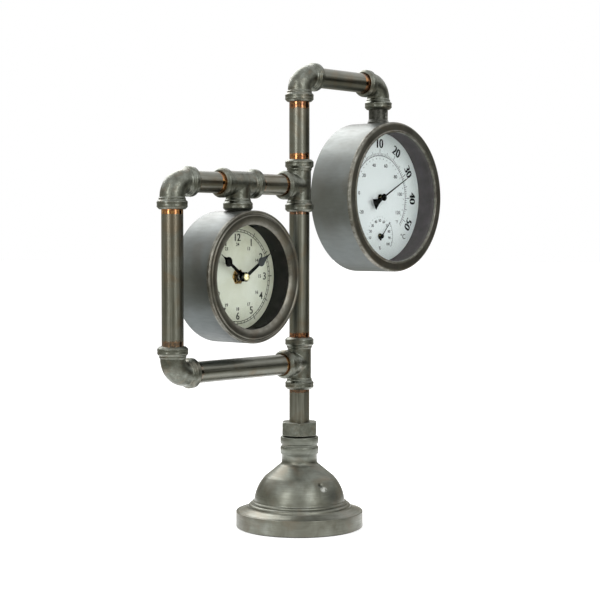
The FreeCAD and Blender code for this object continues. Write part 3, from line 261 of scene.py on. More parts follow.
foot_iron, shader = finish("foot_iron", 1.0, 0.38, coat_weight=0.2, coat_roughness=0.25)
base, drawn = iron_colour(shader, (0.22, 0.22, 5), 24 * MM)
low_brown = graded(shader, put(shader, "ShaderNodeSeparateXYZ", i0=spot(shader)).outputs[2], 0.02, 0.06, 0.15, 0.0)
base = blended(shader, low_brown, base, IRON_BROWN)
patch = sum_of(shader, "MULTIPLY", graded(shader, away(shader, RUBBED_PATCH, (1, 1, 1.3)), 3 * MM, 11 * MM, 0.7, 0.0),
               graded(shader, grain(shader, 5 * MM, detail=5), 0.4, 0.65, 0.0, 1.0))
base = blended(shader, patch, base, IRON_PALE)
near = graded(shader, away(shader, DENT_FLECKS, (0.9, 0.9, 1.4)), 2.2 * MM, 4.4 * MM, 1.0, 0.0)
flecks = sum_of(shader, "MULTIPLY", near,
                graded(shader, grain(shader, 3 * MM, detail=4, rough=0.7), 0.4, 0.5, 0.0, 1.0))
base = blended(shader, flecks, base, IRON_BRIGHT)
# Darkest at the dent's middle.
base = blended(shader, graded(shader, away(shader, DENT), 1.2 * MM, 2.6 * MM, 0.9, 0.0), base, IRON_DENT_DARK)
coloured(shader, base)
roughened(shader, graded(shader, drawn, 0.3, 0.7, 0.32, 0.48))
pits = grain(shader, 1.6 * MM, detail=2)
bumped(shader, (graded(shader, pits, 0.25, 0.4, 0.0, 1.0), 0.03 * MM), (grain(shader, 0.7 * MM), 0.015 * MM),
       (drawn, 0.035 * MM))

foot = copy_of("base_casting", "foot_casting")
bpy.ops.object.mode_set(mode="EDIT")
bpy.ops.mesh.select_all(action="SELECT")
bpy.ops.mesh.bisect(plane_co=(0, 0, 0), plane_no=(0.1, 1, 0), clear_inner=True, clear_outer=True)
bpy.ops.mesh.select_all(action="DESELECT")
bpy.ops.object.mode_set(mode="OBJECT")
for vertex in foot.data.vertices:
    vertex.select = vertex.co.x < 0
bpy.ops.object.mode_set(mode="EDIT")
bpy.ops.mesh.delete(type="VERT")
bpy.ops.mesh.select_all(action="SELECT")
bpy.ops.mesh.spin(steps=FOOT_STEPS, angle=math.tau, center=(0, 0, 0), axis=(0, 0, 1))
bpy.ops.mesh.select_all(action="SELECT")
bpy.ops.mesh.remove_doubles(threshold=0.002 * MM)
bpy.ops.mesh.normals_make_consistent(inside=False)
bpy.ops.mesh.select_all(action="DESELECT")
bpy.ops.object.mode_set(mode="OBJECT")
for face in foot.data.polygons:
    face.select = (face.center - DENT).length < 3 * DENT_REACH
bpy.ops.object.mode_set(mode="EDIT")
bpy.ops.mesh.subdivide(number_cuts=3)
bpy.ops.object.mode_set(mode="OBJECT")
for vertex in foot.data.vertices:
    reach = (vertex.co - DENT).length / DENT_REACH
    if reach < 1.5:
        vertex.co += DENT_WAY * DENT_DEPTH * math.exp(-DENT_STEEP * reach ** 2)
bpy.ops.object.shade_smooth_by_angle(angle=math.radians(35))
dressed(foot, foot_iron)

# Malleable fittings: sand-cast elbows and tees with a ridged band round each mouth.
# Sand casting leaves soft edges, pits and uneven faces, and a slit behind the two top elbows' bands.
CAST_GRAIN = 0.42 * MM
CAST_SOFTNESS = 12
LUMP_SIZE = 6 * MM
LUMP_HEIGHT = 0.35 * MM
DRIPS = (Vector((-11.4, -12.2, 173.8)) * MM, Vector((2.6, -14.0, 147.7)) * MM)
FITTINGS = ("lower_tee", "upper_tee", "clock_tee", "top_elbow", "gauge_elbow",
            "frame_bottom_elbow", "frame_top_elbow", "hexagon_bush")
SLIT_FROM_MOUTH = 12.7 * MM
SLIT_UNDER_TOP = 3.4 * MM
SLIT = Vector((1.3, 3.4, 2.4)) * MM


def settled(piece):
    """Every modifier applied, in order, with only this piece active."""
    bpy.ops.object.select_all(action="DESELECT")
    piece.select_set(True)
    bpy.context.view_layer.objects.active = piece
    for modifier in list(piece.modifiers):
        bpy.ops.object.modifier_apply(modifier=modifier.name)


def sand_cast(name, grain_size, softness, lump_size, lump_height):
    """A node's copy with a casting's soft edges and uneven faces."""
    piece = copy_of(name, name + "_cast")
    remesh = piece.modifiers.new("skin", "REMESH")
    remesh.mode = "VOXEL"
    remesh.voxel_size = grain_size
    smooth = piece.modifiers.new("soften", "SMOOTH")
    smooth.factor = 0.5
    smooth.iterations = softness
    clouds = bpy.data.textures.new(name + "_lumps", "CLOUDS")
    clouds.noise_scale = lump_size
    clouds.noise_depth = 3
    lumps = piece.modifiers.new("lumps", "DISPLACE")
    lumps.texture = clouds
    lumps.texture_coords = "GLOBAL"
    lumps.strength = lump_height
    lumps.mid_level = 0.5
    settled(piece)
    return piece


def block(name, centre, size):
    """A plain box with its place in its mesh, as a cutter or as the start of a piece."""
    bpy.ops.object.select_all(action="DESELECT")
    bpy.ops.mesh.primitive_cube_add(size=1, location=centre)
    cube = bpy.context.object
    cube.name = name
    cube.scale = size
    bpy.ops.object.transform_apply()
    return cube


def cut_by(piece, cutter):
    """The piece less the cutter, which is used up."""
    cut = piece.modifiers.new("cut", "BOOLEAN")
    cut.operation = "DIFFERENCE"
    cut.object = cutter
    settled(piece)
    bpy.data.objects.remove(cutter)


cast_iron, shader = finish("fitting_iron", 1.0, 0.36, coat_weight=0.2, coat_roughness=0.25)
base, drawn = iron_colour(shader, (1, 1, 1), 9 * MM)
scale = grain(shader, 2.2 * MM, detail=6, rough=0.7)
base = blended(shader, graded(shader, scale, 0.45, 0.62, 0.0, 0.5), base, IRON_DARK)
base = blended(shader, graded(shader, grain(shader, 4 * MM, detail=6, rough=0.75), 0.6, 0.7, 0.0, 0.7), base, IRON_PALE)
ragged = graded(shader, grain(shader, 1.5 * MM, detail=4), 0.4, 0.55, 0.0, 1.0)
for drip in DRIPS:
    near = graded(shader, away(shader, drip, (1, 1, 0.6)), 1.5 * MM, 3.5 * MM, 0.9, 0.0)
    base = blended(shader, sum_of(shader, "MULTIPLY", near, ragged), base, IRON_BRIGHT)
coloured(shader, base)
roughened(shader, graded(shader, scale, 0.3, 0.7, 0.28, 0.46))
bumped(shader, (graded(shader, grain(shader, 1.3 * MM, detail=3), 0.25, 0.42, 0.0, 1.0), 0.05 * MM),
       (grain(shader, 0.7 * MM), 0.03 * MM), (drawn, 0.06 * MM))
for name in FITTINGS:
    piece = sand_cast(name, CAST_GRAIN, CAST_SOFTNESS, LUMP_SIZE, LUMP_HEIGHT)
    if name in ("top_elbow", "frame_top_elbow"):
        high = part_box(name)[1]
        at = Vector((high.x - SLIT_FROM_MOUTH, 0.0, high.z - SLIT_UNDER_TOP))
        cut_by(piece, block("slit", at, SLIT))
    bpy.ops.object.shade_smooth()
    dressed(piece, cast_iron)
wear(cast_iron, "lock_nuts")

# Pipes: drawn steel tube, rubbed lengthwise and lacquered, screwed into the fittings.
# By each mouth the joint's heat and flux left rust, copper or gold, ragged at its edge; its palest cream flecks are
# partly painted highlight.
STEEL = (0.2, 0.203, 0.17)
STEEL_DARK = (0.115, 0.114, 0.09)
STEEL_PALE = (0.28, 0.285, 0.25)
STEEL_BROWN = (0.19, 0.15, 0.1)
SCORCH = (0.03, 0.012, 0.007)
RUST = (0.17, 0.062, 0.026)
COPPER = (0.45, 0.17, 0.068)
GOLD = (0.7, 0.38, 0.11)
CREAM_LEAF_AND_HIGHLIGHT = (0.95, 0.72, 0.42)
RAGGED = 1.1
STAIN_GLOSS = 0.45


def pipe_steel(name, axis, stains):
    """Drawn tube along an axis (0 for X, 2 for Z); each stain has a mouth's place, reach, strength and tone."""
    material, shader = finish(name + "_steel", 1.0, 0.34, coat_weight=0.25, coat_roughness=0.2)
    long = [5.0, 5.0, 5.0]
    long[axis] = 0.12
    drawn = grain(shader, 9 * MM, stretch=long, detail=6, rough=0.6)
    cloud = grain(shader, 26 * MM, detail=4, warp=0.8)
    brown = grain(shader, 34 * MM, detail=3, warp=1.5)
    ragged = grain(shader, 4 * MM, detail=5, rough=0.7)
    fleck = grain(shader, 2.2 * MM, detail=4, rough=0.7)
    base = ramp(shader, drawn, (0.28, STEEL_DARK), (0.5, STEEL), (0.75, STEEL_PALE))
    base = blended(shader, graded(shader, cloud, 0.4, 0.7, 0.0, 0.5), base, STEEL_DARK)
    base = blended(shader, graded(shader, brown, 0.48, 0.68, 0.0, 0.65), base, STEEL_BROWN)
    along = put(shader, "ShaderNodeSeparateXYZ", i0=spot(shader)).outputs[axis]
    jagged = sum_of(shader, "MULTIPLY", sum_of(shader, "SUBTRACT", ragged, 0.5), RAGGED)
    rough = graded(shader, drawn, 0.3, 0.7, 0.28, 0.42)
    for mouth, reach, strength, tone in stains:
        # The stain's cream end is partly leaf and partly painted highlight.
        glow = ramp(shader, sum_of(shader, "ADD", fleck, tone), (0.3, SCORCH), (0.42, RUST), (0.52, COPPER),
                    (0.66, GOLD), (0.8, CREAM_LEAF_AND_HIGHLIGHT))
        off = sum_of(shader, "ABSOLUTE", sum_of(shader, "SUBTRACT", along, mouth))
        share = sum_of(shader, "ADD", sum_of(shader, "DIVIDE", off, reach), jagged)
        base = blended(shader, graded(shader, share, 0.75, 1.0, strength, 0.0), base, glow)
        rough = sum_of(shader, "MULTIPLY", rough, graded(shader, share, 0.75, 1.0, STAIN_GLOSS, 1.0))
    coloured(shader, base)
    roughened(shader, rough)
    bumped(shader, (drawn, 0.03 * MM), (ragged, 0.02 * MM))
    return material


def top_of(name):
    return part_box(name)[1].z


def foot_of(name):
    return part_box(name)[0].z


def right_of(name):
    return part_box(name)[1].x


def left_of(name):
    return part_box(name)[0].x


PIPES = {
    "lower_riser": (2, ((foot_of("lower_tee"), 3.5 * MM, 0.5, -0.06),)),
    "middle_riser": (2, ((top_of("lower_tee"), 5.5 * MM, 0.85, -0.04), (foot_of("upper_tee"), 3 * MM, 0.6, -0.04))),
    "upper_riser": (2, ((top_of("upper_tee"), 7 * MM, 0.9, 0.02), (foot_of("top_elbow"), 8 * MM, 0.8, -0.02))),
    "upper_arm": (0, ((right_of("top_elbow"), 3 * MM, 0.15, -0.1), (left_of("gauge_elbow"), 7.5 * MM, 0.85, -0.02))),
    "frame_upright": (2, ((top_of("frame_bottom_elbow"), 6 * MM, 0.4, -0.03),
                          (foot_of("frame_top_elbow"), 5 * MM, 0.85, 0.06))),
    "frame_lower_arm": (0, ((right_of("frame_bottom_elbow"), 5 * MM, 0.3, -0.1),
                            (left_of("lower_tee"), 3 * MM, 0.9, 0.08))),
    "frame_outer_nipple": (0, ((right_of("frame_top_elbow"), 2.5 * MM, 0.4, 0.0),
                               (left_of("clock_tee"), 5 * MM, 1.0, 0.08))),
    "frame_inner_nipple": (0, ((right_of("clock_tee"), 4 * MM, 0.45, -0.02), (left_of("upper_tee"), 3 * MM, 0.8, 0.0))),
}
for name, (axis, stains) in PIPES.items():
    wear(pipe_steel(name, axis, stains), name)

# Close nipples that carry the two cases: short black pipe, spotted with paint.
# The gauge's is welded to its case, and the weld has run down in beads, painted bright as glints.
BLACK_PIPE = (0.05, 0.05, 0.044)
BLACK_PIPE_PALE = (0.12, 0.122, 0.108)
WELD_BEAD_GLINT = (0.62, 0.62, 0.58)
WELD_PLACE = Vector((3.0, -10.5, -2.0)) * MM


def black_pipe(name, node, weld):
    """Spotted black pipe; `weld` is the share of beads on its front, painted bright as glints."""
    material, shader = finish(name, 1.0, 0.4)
    scale = grain(shader, 2.5 * MM, detail=5, rough=0.7)
    base = ramp(shader, scale, (0.4, BLACK_PIPE), (0.68, BLACK_PIPE_PALE))
    low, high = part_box(node)
    near = graded(shader, away(shader, (low + high) / 2 + WELD_PLACE, (1.2, 1, 0.5)), 2.5 * MM, 6 * MM, weld, 0.0)
    beads = graded(shader, grain(shader, 1.6 * MM, stretch=(1, 1, 0.6), detail=3), 0.5, 0.56, 0.0, 1.0)
    coloured(shader, blended(shader, sum_of(shader, "MULTIPLY", near, beads), base, WELD_BEAD_GLINT))
    roughened(shader, graded(shader, scale, 0.3, 0.7, 0.3, 0.5))
    bumped(shader, (scale, 0.08 * MM), (sum_of(shader, "MULTIPLY", near, beads), 0.25 * MM))
    wear(material, node)


black_pipe("nipple_black", "clock_nipple", 0.0)
black_pipe("welded_black", "gauge_nipple", 1.0)

# Cases: rolled sheet drums with pressed rear covers, sprayed gunmetal grey and rubbed smooth.
CASE_GREY = (0.195, 0.208, 0.198)
CASE_DARK = (0.15, 0.155, 0.142)
CASE_PALE = (0.235, 0.255, 0.25)
CASE_BROWN = (0.16, 0.148, 0.12)
# The clock's drum has a slightly bluer copy of the same lacquer, darker as painted shade.
CLOCK_CASE_GREY = (0.172, 0.187, 0.182)
CLOCK_CASE_DARK = (0.132, 0.14, 0.13)
CLOCK_CASE_PALE = (0.21, 0.23, 0.23)
CLOCK_CASE_BROWN = (0.148, 0.14, 0.118)
UNDERSIDE_SHADE = 0.75


def sprayed(name, dark, middle, pale, brown, rough, cloud_size=60 * MM, rims=(), drum=None):
    """Rubbed metallic lacquer: soft clouds and a fine fleck; each rim is worn, and painted paler as a highlight,
    between two radii of a centre.

    Under a drum the lacquer is painted darker, from its middle down, as painted shade."""
    material, shader = finish(name, 0.92, rough, coat_weight=0.12, coat_roughness=0.35)
    cloud = grain(shader, cloud_size, detail=3, warp=0.4)
    brown_cloud = grain(shader, 0.8 * cloud_size, detail=2, warp=0.8)
    rubbed = grain(shader, 3 * MM, stretch=(1, 0.25, 1), detail=5, rough=0.6)
    fleck = grain(shader, 0.6 * MM, detail=2)
    base = ramp(shader, cloud, (0.3, dark), (0.5, middle), (0.72, pale))
    base = blended(shader, graded(shader, brown_cloud, 0.5, 0.7, 0.0, 0.5), base, brown)
    base = blended(shader, graded(shader, rubbed, 0.4, 0.7, 0.0, 0.2), base, dark)
    if drum:
        low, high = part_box(drum)
        height = put(shader, "ShaderNodeSeparateXYZ", i0=spot(shader)).outputs[2]
        # Painted shade: the drum's lacquer darkens from its middle down.
        painted_underside_shade = graded(shader, height, low.z + 0.1 * (high.z - low.z), low.z + 0.45 * (high.z - low.z), UNDERSIDE_SHADE, 0.0)
        base = blended(shader, painted_underside_shade, base, (0.7 * dark[0], 0.8 * dark[1], 0.88 * dark[2]))
    ragged = graded(shader, grain(shader, 6 * MM, detail=6, rough=0.7), 0.44, 0.66, 0.0, 1.0)
    for centre, inner, outer, share, worn in rims:
        radius = away(shader, centre, (1, 0, 1))
        near = sum_of(shader, "MULTIPLY", graded(shader, radius, inner - 0.5 * MM, inner + 0.4 * MM, 0.0, share),
                      graded(shader, radius, outer - 0.4 * MM, outer + 0.5 * MM, 1.0, 0.0))
        # Worn rims are paler: partly wear, partly painted highlight.
        base = blended(shader, sum_of(shader, "MULTIPLY", near, ragged), base, worn)
    coloured(shader, base)
    roughened(shader, graded(shader, rubbed, 0.3, 0.7, rough - 0.05, rough + 0.05))
    bumped(shader, (fleck, 0.012 * MM), (rubbed, 0.015 * MM))
    return material


wear(sprayed("case_steel", CASE_DARK, CASE_GREY, CASE_PALE, CASE_BROWN, 0.44, drum="gauge_case"),
     "gauge_case", "gauge_back_cover")
wear(sprayed("clock_case_steel", CLOCK_CASE_DARK, CLOCK_CASE_GREY, CLOCK_CASE_PALE, CLOCK_CASE_BROWN, 0.45,
             drum="clock_case"), "clock_case", "clock_back_cover")

# Bezels: turned rings, darker and browner than the drums, rubbed bright along their crests, partly real wear and partly
# painted highlight.
BEZEL_GREY = (0.15, 0.146, 0.122)
BEZEL_DARK = (0.095, 0.09, 0.073)
BEZEL_PALE = (0.2, 0.197, 0.17)
BEZEL_BROWN = (0.15, 0.118, 0.08)
BEZEL_RUBBED_AND_SHEEN = (0.36, 0.35, 0.31)
BEZEL_BARE_AND_GLINT = (0.55, 0.55, 0.5)


def middle_of(name):
    low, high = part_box(name)
    return (low + high) / 2


def half_width(name):
    low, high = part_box(name)
    return (high.x - low.x) / 2


for name, rough, cloud_size, lip, edge in (("clock_bezel", 0.36, 26 * MM, 0.3, 0.3),
                                           ("gauge_bezel", 0.42, 34 * MM, 0.6, 0.45)):
    rim, glass = half_width(name), half_width(name.replace("bezel", "glass"))
    wear(sprayed(name + "_steel", BEZEL_DARK, BEZEL_GREY, BEZEL_PALE, BEZEL_BROWN, rough, cloud_size,
                 ((middle_of(name), glass - 4.2 * MM, glass + 0.6 * MM, lip, BEZEL_RUBBED_AND_SHEEN),
                  (middle_of(name), rim - 1.2 * MM, rim + 2 * MM, edge, BEZEL_BARE_AND_GLINT))), name)

# Pans: pressed cups behind the glass that hold the dials, painted, the clock's black and the gauge's grey.
PAN_BLACK = (0.02, 0.02, 0.019)
PAN_BLACK_WORN = (0.036, 0.035, 0.033)
PAN_GREY = (0.098, 0.088, 0.09)
PAN_GREY_WORN = (0.131, 0.119, 0.123)


def pan_paint(name, dark, worn):
    material, shader = finish(name, 0.0, 0.6, specular_ior_level=0.1)
    patches = grain(shader, 12 * MM, detail=4)
    coloured(shader, ramp(shader, patches, (0.35, dark), (0.75, worn)))
    roughened(shader, graded(shader, patches, 0.3, 0.7, 0.54, 0.66))
    bumped(shader, (patches, 0.04 * MM))
    return material


wear(pan_paint("pan_black", PAN_BLACK, PAN_BLACK_WORN), "clock_pan")
wear(pan_paint("pan_grey", PAN_GREY, PAN_GREY_WORN), "gauge_pan")

# Screws and small steel parts: zinc plated. Six screws hold the covers and six, inside, the pans.
# The cover screws show, so each gets its cross recess.
ZINC = (0.5, 0.5, 0.47)
ZINC_DARK = (0.3, 0.3, 0.28)
RECESS_LONG = 3.0 * MM
RECESS_WIDE = 0.7 * MM
RECESS_DEEP = 1.0 * MM
SCREW_REACH = 12 * MM
bright_steel, shader = finish("bright_steel", 1.0, 0.3)
tarnish = grain(shader, 2 * MM, detail=4)
coloured(shader, ramp(shader, tarnish, (0.35, ZINC_DARK), (0.6, ZINC)))
roughened(shader, graded(shader, tarnish, 0.3, 0.7, 0.24, 0.4))
bumped(shader, (tarnish, 0.01 * MM))
wear(bright_steel, "pan_screws", "shaft_washer", "cell_contacts", "minute_arbor",
     "thermometer_bracket", "hygrometer_bracket")
crossed = copy_of("cover_screws", "crossed_screws")
screws = []
for vertex in crossed.data.vertices:
    for screw in screws:
        if (screw[0] - vertex.co).length < SCREW_REACH:
            screw.append(vertex.co.copy())
            break
    else:
        screws.append([vertex.co.copy()])
for screw in screws:
    middle = [(min(co[axis] for co in screw) + max(co[axis] for co in screw)) / 2 for axis in (0, 2)]
    head = max(co.y for co in screw)
    for long, wide in ((RECESS_LONG, RECESS_WIDE), (RECESS_WIDE, RECESS_LONG)):
        cut_by(crossed, block("recess", (middle[0], head, middle[1]), (long, 2 * RECESS_DEEP, wide)))
bpy.ops.object.select_all(action="DESELECT")
crossed.select_set(True)
bpy.context.view_layer.objects.active = crossed
bpy.ops.object.shade_smooth_by_angle(angle=math.radians(30))
dressed(crossed, bright_steel)

# Movement: moulded black housing and lid, with the motion work's wheels and the setting knob in acetal.
PLASTIC = (0.022, 0.022, 0.023)
PLASTIC_PALE = (0.04, 0.04, 0.041)
ACETAL = (0.66, 0.65, 0.6)
ACETAL_PALE = (0.74, 0.73, 0.69)
moulded, shader = finish("movement_plastic", 0.0, 0.5)
tooth = grain(shader, 0.5 * MM, detail=2)
coloured(shader, ramp(shader, grain(shader, 7 * MM), (0.3, PLASTIC), (0.7, PLASTIC_PALE)))
roughened(shader, graded(shader, tooth, 0.3, 0.7, 0.42, 0.58))
bumped(shader, (tooth, 0.02 * MM))
wear(moulded, "movement_housing", "movement_lid")

acetal, shader = finish("wheel_plastic", 0.0, 0.4, subsurface_weight=0.05)
coloured(shader, ramp(shader, grain(shader, 4 * MM), (0.3, ACETAL), (0.7, ACETAL_PALE)))
bumped(shader, (grain(shader, 0.8 * MM), 0.01 * MM))
wear(acetal, "hour_wheel", "motion_wheel", "setting_knob")

# Cell, driving coil and board: a plain sleeved cell, lacquered copper wire and green laminate.
CELL_BAND = 14 * MM
CELL_BAND_EDGE = 0.2 * MM
cell_wrap, shader = finish("cell_wrap", 0.0, 0.3)
along = put(shader, "ShaderNodeSeparateXYZ", i0=spot(shader)).outputs[0]
band = right_of("cell") - CELL_BAND
sleeve = graded(shader, along, band, band + CELL_BAND_EDGE, 0.0, 1.0)
scuffs = grain(shader, 3 * MM, detail=5)
coloured(shader, blended(shader, sleeve, ramp(shader, scuffs, (0.4, (0.03, 0.05, 0.1)), (0.75, (0.06, 0.09, 0.15))),
                         ramp(shader, scuffs, (0.4, (0.5, 0.5, 0.5)), (0.75, (0.6, 0.6, 0.6)))))
bumped(shader, (scuffs, 0.01 * MM))
wear(cell_wrap, "cell")

wire, shader = finish("coil_copper", 1.0, 0.28, coat_weight=0.5)
turns = put(shader, "ShaderNodeTexWave", {"bands_direction": "X"}, Vector=spot(shader), Scale=1 / (1.2 * MM),
            Distortion=0.6).outputs["Fac"]
coloured(shader, ramp(shader, turns, (0.2, (0.3, 0.1, 0.04)), (0.8, (0.75, 0.33, 0.15))))
bumped(shader, (turns, 0.1 * MM))
wear(wire, "drive_coil")

laminate, shader = finish("board", 0.0, 0.35)
tracks = put(shader, "ShaderNodeTexVoronoi", {"feature": "DISTANCE_TO_EDGE"}, Vector=spot(shader),
             Scale=1 / (3 * MM)).outputs[0]
coloured(shader, ramp(shader, tracks, (0.05, (0.04, 0.16, 0.06)), (0.12, (0.015, 0.08, 0.03))))
bumped(shader, (tracks, 0.02 * MM))
wear(laminate, "circuit_board")

# Bimetal spirals: rolled strip, brass on one face, grey steel on the other, shown as clouds of grey and brass.
bimetal, shader = finish("bimetal", 1.0, 0.35)
coloured(shader, ramp(shader, grain(shader, 3 * MM, stretch=(1, 0.3, 1), detail=4), (0.35, (0.3, 0.27, 0.22)),
                      (0.65, (0.55, 0.42, 0.2))))
bumped(shader, (grain(shader, 1 * MM, stretch=(1, 0.2, 1)), 0.01 * MM))
wear(bimetal, "thermometer_coil", "hygrometer_coil")

# Dials: printed card discs. The clock's is cream and the gauge's white, each darker towards its top and rim.
CREAM = (0.66, 0.685, 0.55)
CREAM_AGED = (0.48, 0.48, 0.33)
CREAM_PALE = (0.74, 0.77, 0.66)
WHITE = (0.8, 0.85, 0.85)
WHITE_DULL = (0.71, 0.77, 0.75)


def printed_card(name, centre, radius, aged, middle, pale, size, rim_darkening, top_darkening):
    """Card with soft foxing, darker towards its rim and its top."""
    material, shader = finish(name, 0.0, 0.62, specular_ior_level=0.3)
    cloud = grain(shader, size, detail=6, rough=0.62, warp=0.7)
    pulp = grain(shader, 1.1 * MM, detail=4)
    base = ramp(shader, cloud, (0.3, middle), (0.6, pale))
    mottle = graded(shader, grain(shader, 0.3 * size, detail=5), 0.3, 0.7, 0.4, 1.3)
    rim = sum_of(shader, "MULTIPLY", graded(shader, away(shader, centre), 0.55 * radius, radius, 0.0, rim_darkening), mottle)
    height = put(shader, "ShaderNodeSeparateXYZ", i0=spot(shader)).outputs[2]
    top = sum_of(shader, "MULTIPLY", graded(shader, height, centre.z, centre.z + radius, 0.0, top_darkening), mottle)
    base = blended(shader, sum_of(shader, "MAXIMUM", rim, top), base, aged)
    base = blended(shader, graded(shader, pulp, 0.4, 0.8, 0.0, 0.15), base, aged)
    coloured(shader, base)
    bumped(shader, (pulp, 0.012 * MM))
    return material


CLOCK = middle_of("clock_dial")
GAUGE = middle_of("gauge_dial")
wear(printed_card("clock_paper", CLOCK, 55 * MM, CREAM_AGED, CREAM, CREAM_PALE, 26 * MM, 0.6, 0.75), "clock_dial")
wear(printed_card("gauge_paper", GAUGE, 72 * MM, WHITE_DULL, WHITE, WHITE, 40 * MM, 0.9, 0.5), "gauge_dial")

# Clock print: black numbers, upright, with the afternoon hours smaller inside, and a minute track.
INK_DEEP = 0.03 * MM
INK_OFF = 0.05 * MM
HOUR_RING = 39.7 * MM
HOUR_HEIGHT = 7.4 * MM
AFTERNOON_RING = 32.6 * MM
AFTERNOON_HEIGHT = 3.4 * MM
TRACK_INNER = 45.3 * MM
TRACK_OUTER = 47.6 * MM
TRACK_LINE = 0.6 * MM
HOUR_TICK_INNER = 47.8 * MM
HOUR_TICK_OUTER = 50.6 * MM


def ink(name, colour, worn):
    material, shader = finish(name, 0.0, 0.6, specular_ior_level=0.3)
    fading = grain(shader, 2 * MM, detail=5, rough=0.7)
    coloured(shader, ramp(shader, fading, (0.45, colour), (0.8, worn)))
    bumped(shader, (fading, 0.005 * MM))
    return material


def around(centre, radius, degrees):
    """A place on a dial, clockwise from its top."""
    turn = math.radians(degrees)
    return Vector((centre.x + radius * math.sin(turn), centre.y, centre.z + radius * math.cos(turn)))


def printed(text, height, place, turn=0.0, weight=0.0, spread=0.0, narrow=1.0):
    """A number or sign of ink, leant clockwise by `turn` degrees; `spread` thickens its upright strokes."""
    bpy.ops.object.select_all(action="DESELECT")
    bpy.ops.object.text_add(location=(0, 0, 0))
    word = bpy.context.object
    word.data.body = text
    word.data.resolution_u = 4
    word.data.offset = weight
    bpy.ops.object.convert(target="MESH")
    word = bpy.context.object
    bpy.ops.object.origin_set(type="ORIGIN_GEOMETRY", center="BOUNDS")
    bpy.context.view_layer.update()
    size = height / word.dimensions.y
    if spread:
        strokes = word.modifiers.new("strokes", "ARRAY")
        strokes.use_relative_offset = False
        strokes.use_constant_offset = True
        strokes.count = 6
        strokes.constant_offset_displace = (spread / size / 5, 0, 0)
        bpy.ops.object.modifier_apply(modifier="strokes")
        bpy.ops.object.origin_set(type="ORIGIN_GEOMETRY", center="BOUNDS")
    word.location = place
    word.rotation_euler = (math.radians(90), math.radians(turn), 0)
    word.scale = (size * narrow, size, size)
    bpy.ops.object.transform_apply()
    return word


def marks(centre, inner, outer, wide, first, last, count):
    """Radial strokes between two radii, evenly clockwise from `first` to `last` degrees."""
    stroke = block("mark", (centre.x, centre.y, centre.z + (inner + outer) / 2), (wide, INK_DEEP, outer - inner))
    bpy.ops.object.mode_set(mode="EDIT")
    bpy.ops.mesh.select_all(action="SELECT")
    bpy.ops.transform.rotate(value=-math.radians(first), orient_axis="Y", center_override=centre)
    bpy.ops.mesh.spin(steps=count - 1, dupli=True, angle=math.radians(first - last), center=centre, axis=(0, 1, 0))
    bpy.ops.object.mode_set(mode="OBJECT")
    return stroke


def ring_line(centre, radius, wide, first=0.0, last=360.0):
    """A thin printed circle, or an arc clockwise from `first` to `last` degrees."""
    start = around(centre, radius, first)
    line = block("line", start, (wide, INK_DEEP, 0.02 * MM))
    bpy.ops.object.mode_set(mode="EDIT")
    bpy.ops.mesh.select_mode(type="FACE")
    bpy.ops.mesh.select_all(action="SELECT")
    bpy.ops.transform.rotate(value=-math.radians(90 + first), orient_axis="Y", center_override=start)
    bpy.ops.object.mode_set(mode="OBJECT")
    steps = max(24, int(abs(last - first) / 3))
    for face in line.data.polygons:
        face.select = face.normal.dot(around(centre, 1, first + 90) - centre) > 0.9
    bpy.ops.object.mode_set(mode="EDIT")
    bpy.ops.mesh.spin(steps=steps, angle=math.radians(first - last), center=centre, axis=(0, 1, 0))
    bpy.ops.mesh.select_all(action="SELECT")
    bpy.ops.mesh.remove_doubles(threshold=0.005 * MM)
    bpy.ops.mesh.normals_make_consistent(inside=False)
    bpy.ops.object.mode_set(mode="OBJECT")
    return line


def joined(name, pieces):
    bpy.ops.object.select_all(action="DESELECT")
    for piece in pieces:
        piece.select_set(True)
    bpy.context.view_layer.objects.active = pieces[0]
    bpy.ops.object.join()
    whole = bpy.context.object
    whole.name = name
    bpy.ops.object.origin_set(type="ORIGIN_CURSOR")
    return whole


clock_ink = ink("clock_ink", (0.02, 0.02, 0.017), (0.06, 0.06, 0.05))
face = Vector((CLOCK.x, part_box("clock_dial")[0].y - INK_OFF, CLOCK.z))
hours = [printed(str(hour), HOUR_HEIGHT, around(face, HOUR_RING, 30 * hour), weight=0.005, spread=0.5 * MM)
         for hour in range(1, 13)]
afternoon = [printed(str(hour + 12), AFTERNOON_HEIGHT, around(face, AFTERNOON_RING, 30 * hour), weight=0.01,
                     spread=0.3 * MM) for hour in range(1, 13)]
track = [ring_line(face, TRACK_INNER, TRACK_LINE), ring_line(face, TRACK_OUTER, TRACK_LINE),
         marks(face, TRACK_INNER, TRACK_OUTER, 0.7 * MM, 0, 354, 60),
         marks(face, HOUR_TICK_INNER, HOUR_TICK_OUTER, 0.9 * MM, 0, 330, 12)]
dressed(joined("clock_print", hours + afternoon + track), clock_ink)

# Gauge print: bold Celsius numbers that turn with the scale, fine Fahrenheit ones upright inside it.
# The humidity scale has its own small circle of numbers low on the dial.
CELSIUS_RING = 59.9 * MM
CELSIUS_HEIGHT = 10 * MM
SCALE_LINE = 46.3 * MM
FAHRENHEIT_RING = 36.9 * MM
HUMIDITY_RING = 17.5 * MM
DEGREES_PER_CELSIUS = 3.0
DEGREES_PER_FAHRENHEIT = DEGREES_PER_CELSIUS / 1.8
DEGREES_PER_HUMIDITY = 2.4
gauge_ink = ink("gauge_ink", (0.005, 0.005, 0.006), (0.02, 0.02, 0.022))
fine_ink = ink("fine_ink", (0.03, 0.032, 0.035), (0.09, 0.095, 0.1))
face = Vector((GAUGE.x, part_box("gauge_dial")[0].y - INK_OFF, GAUGE.z))
bold = [printed(str(warmth), CELSIUS_HEIGHT, around(face, CELSIUS_RING, (warmth - 10) * DEGREES_PER_CELSIUS),
                turn=(warmth - 10) * DEGREES_PER_CELSIUS, weight=-0.012, spread=1.7 * MM, narrow=0.92)
        for warmth in range(-30, 51, 10)]
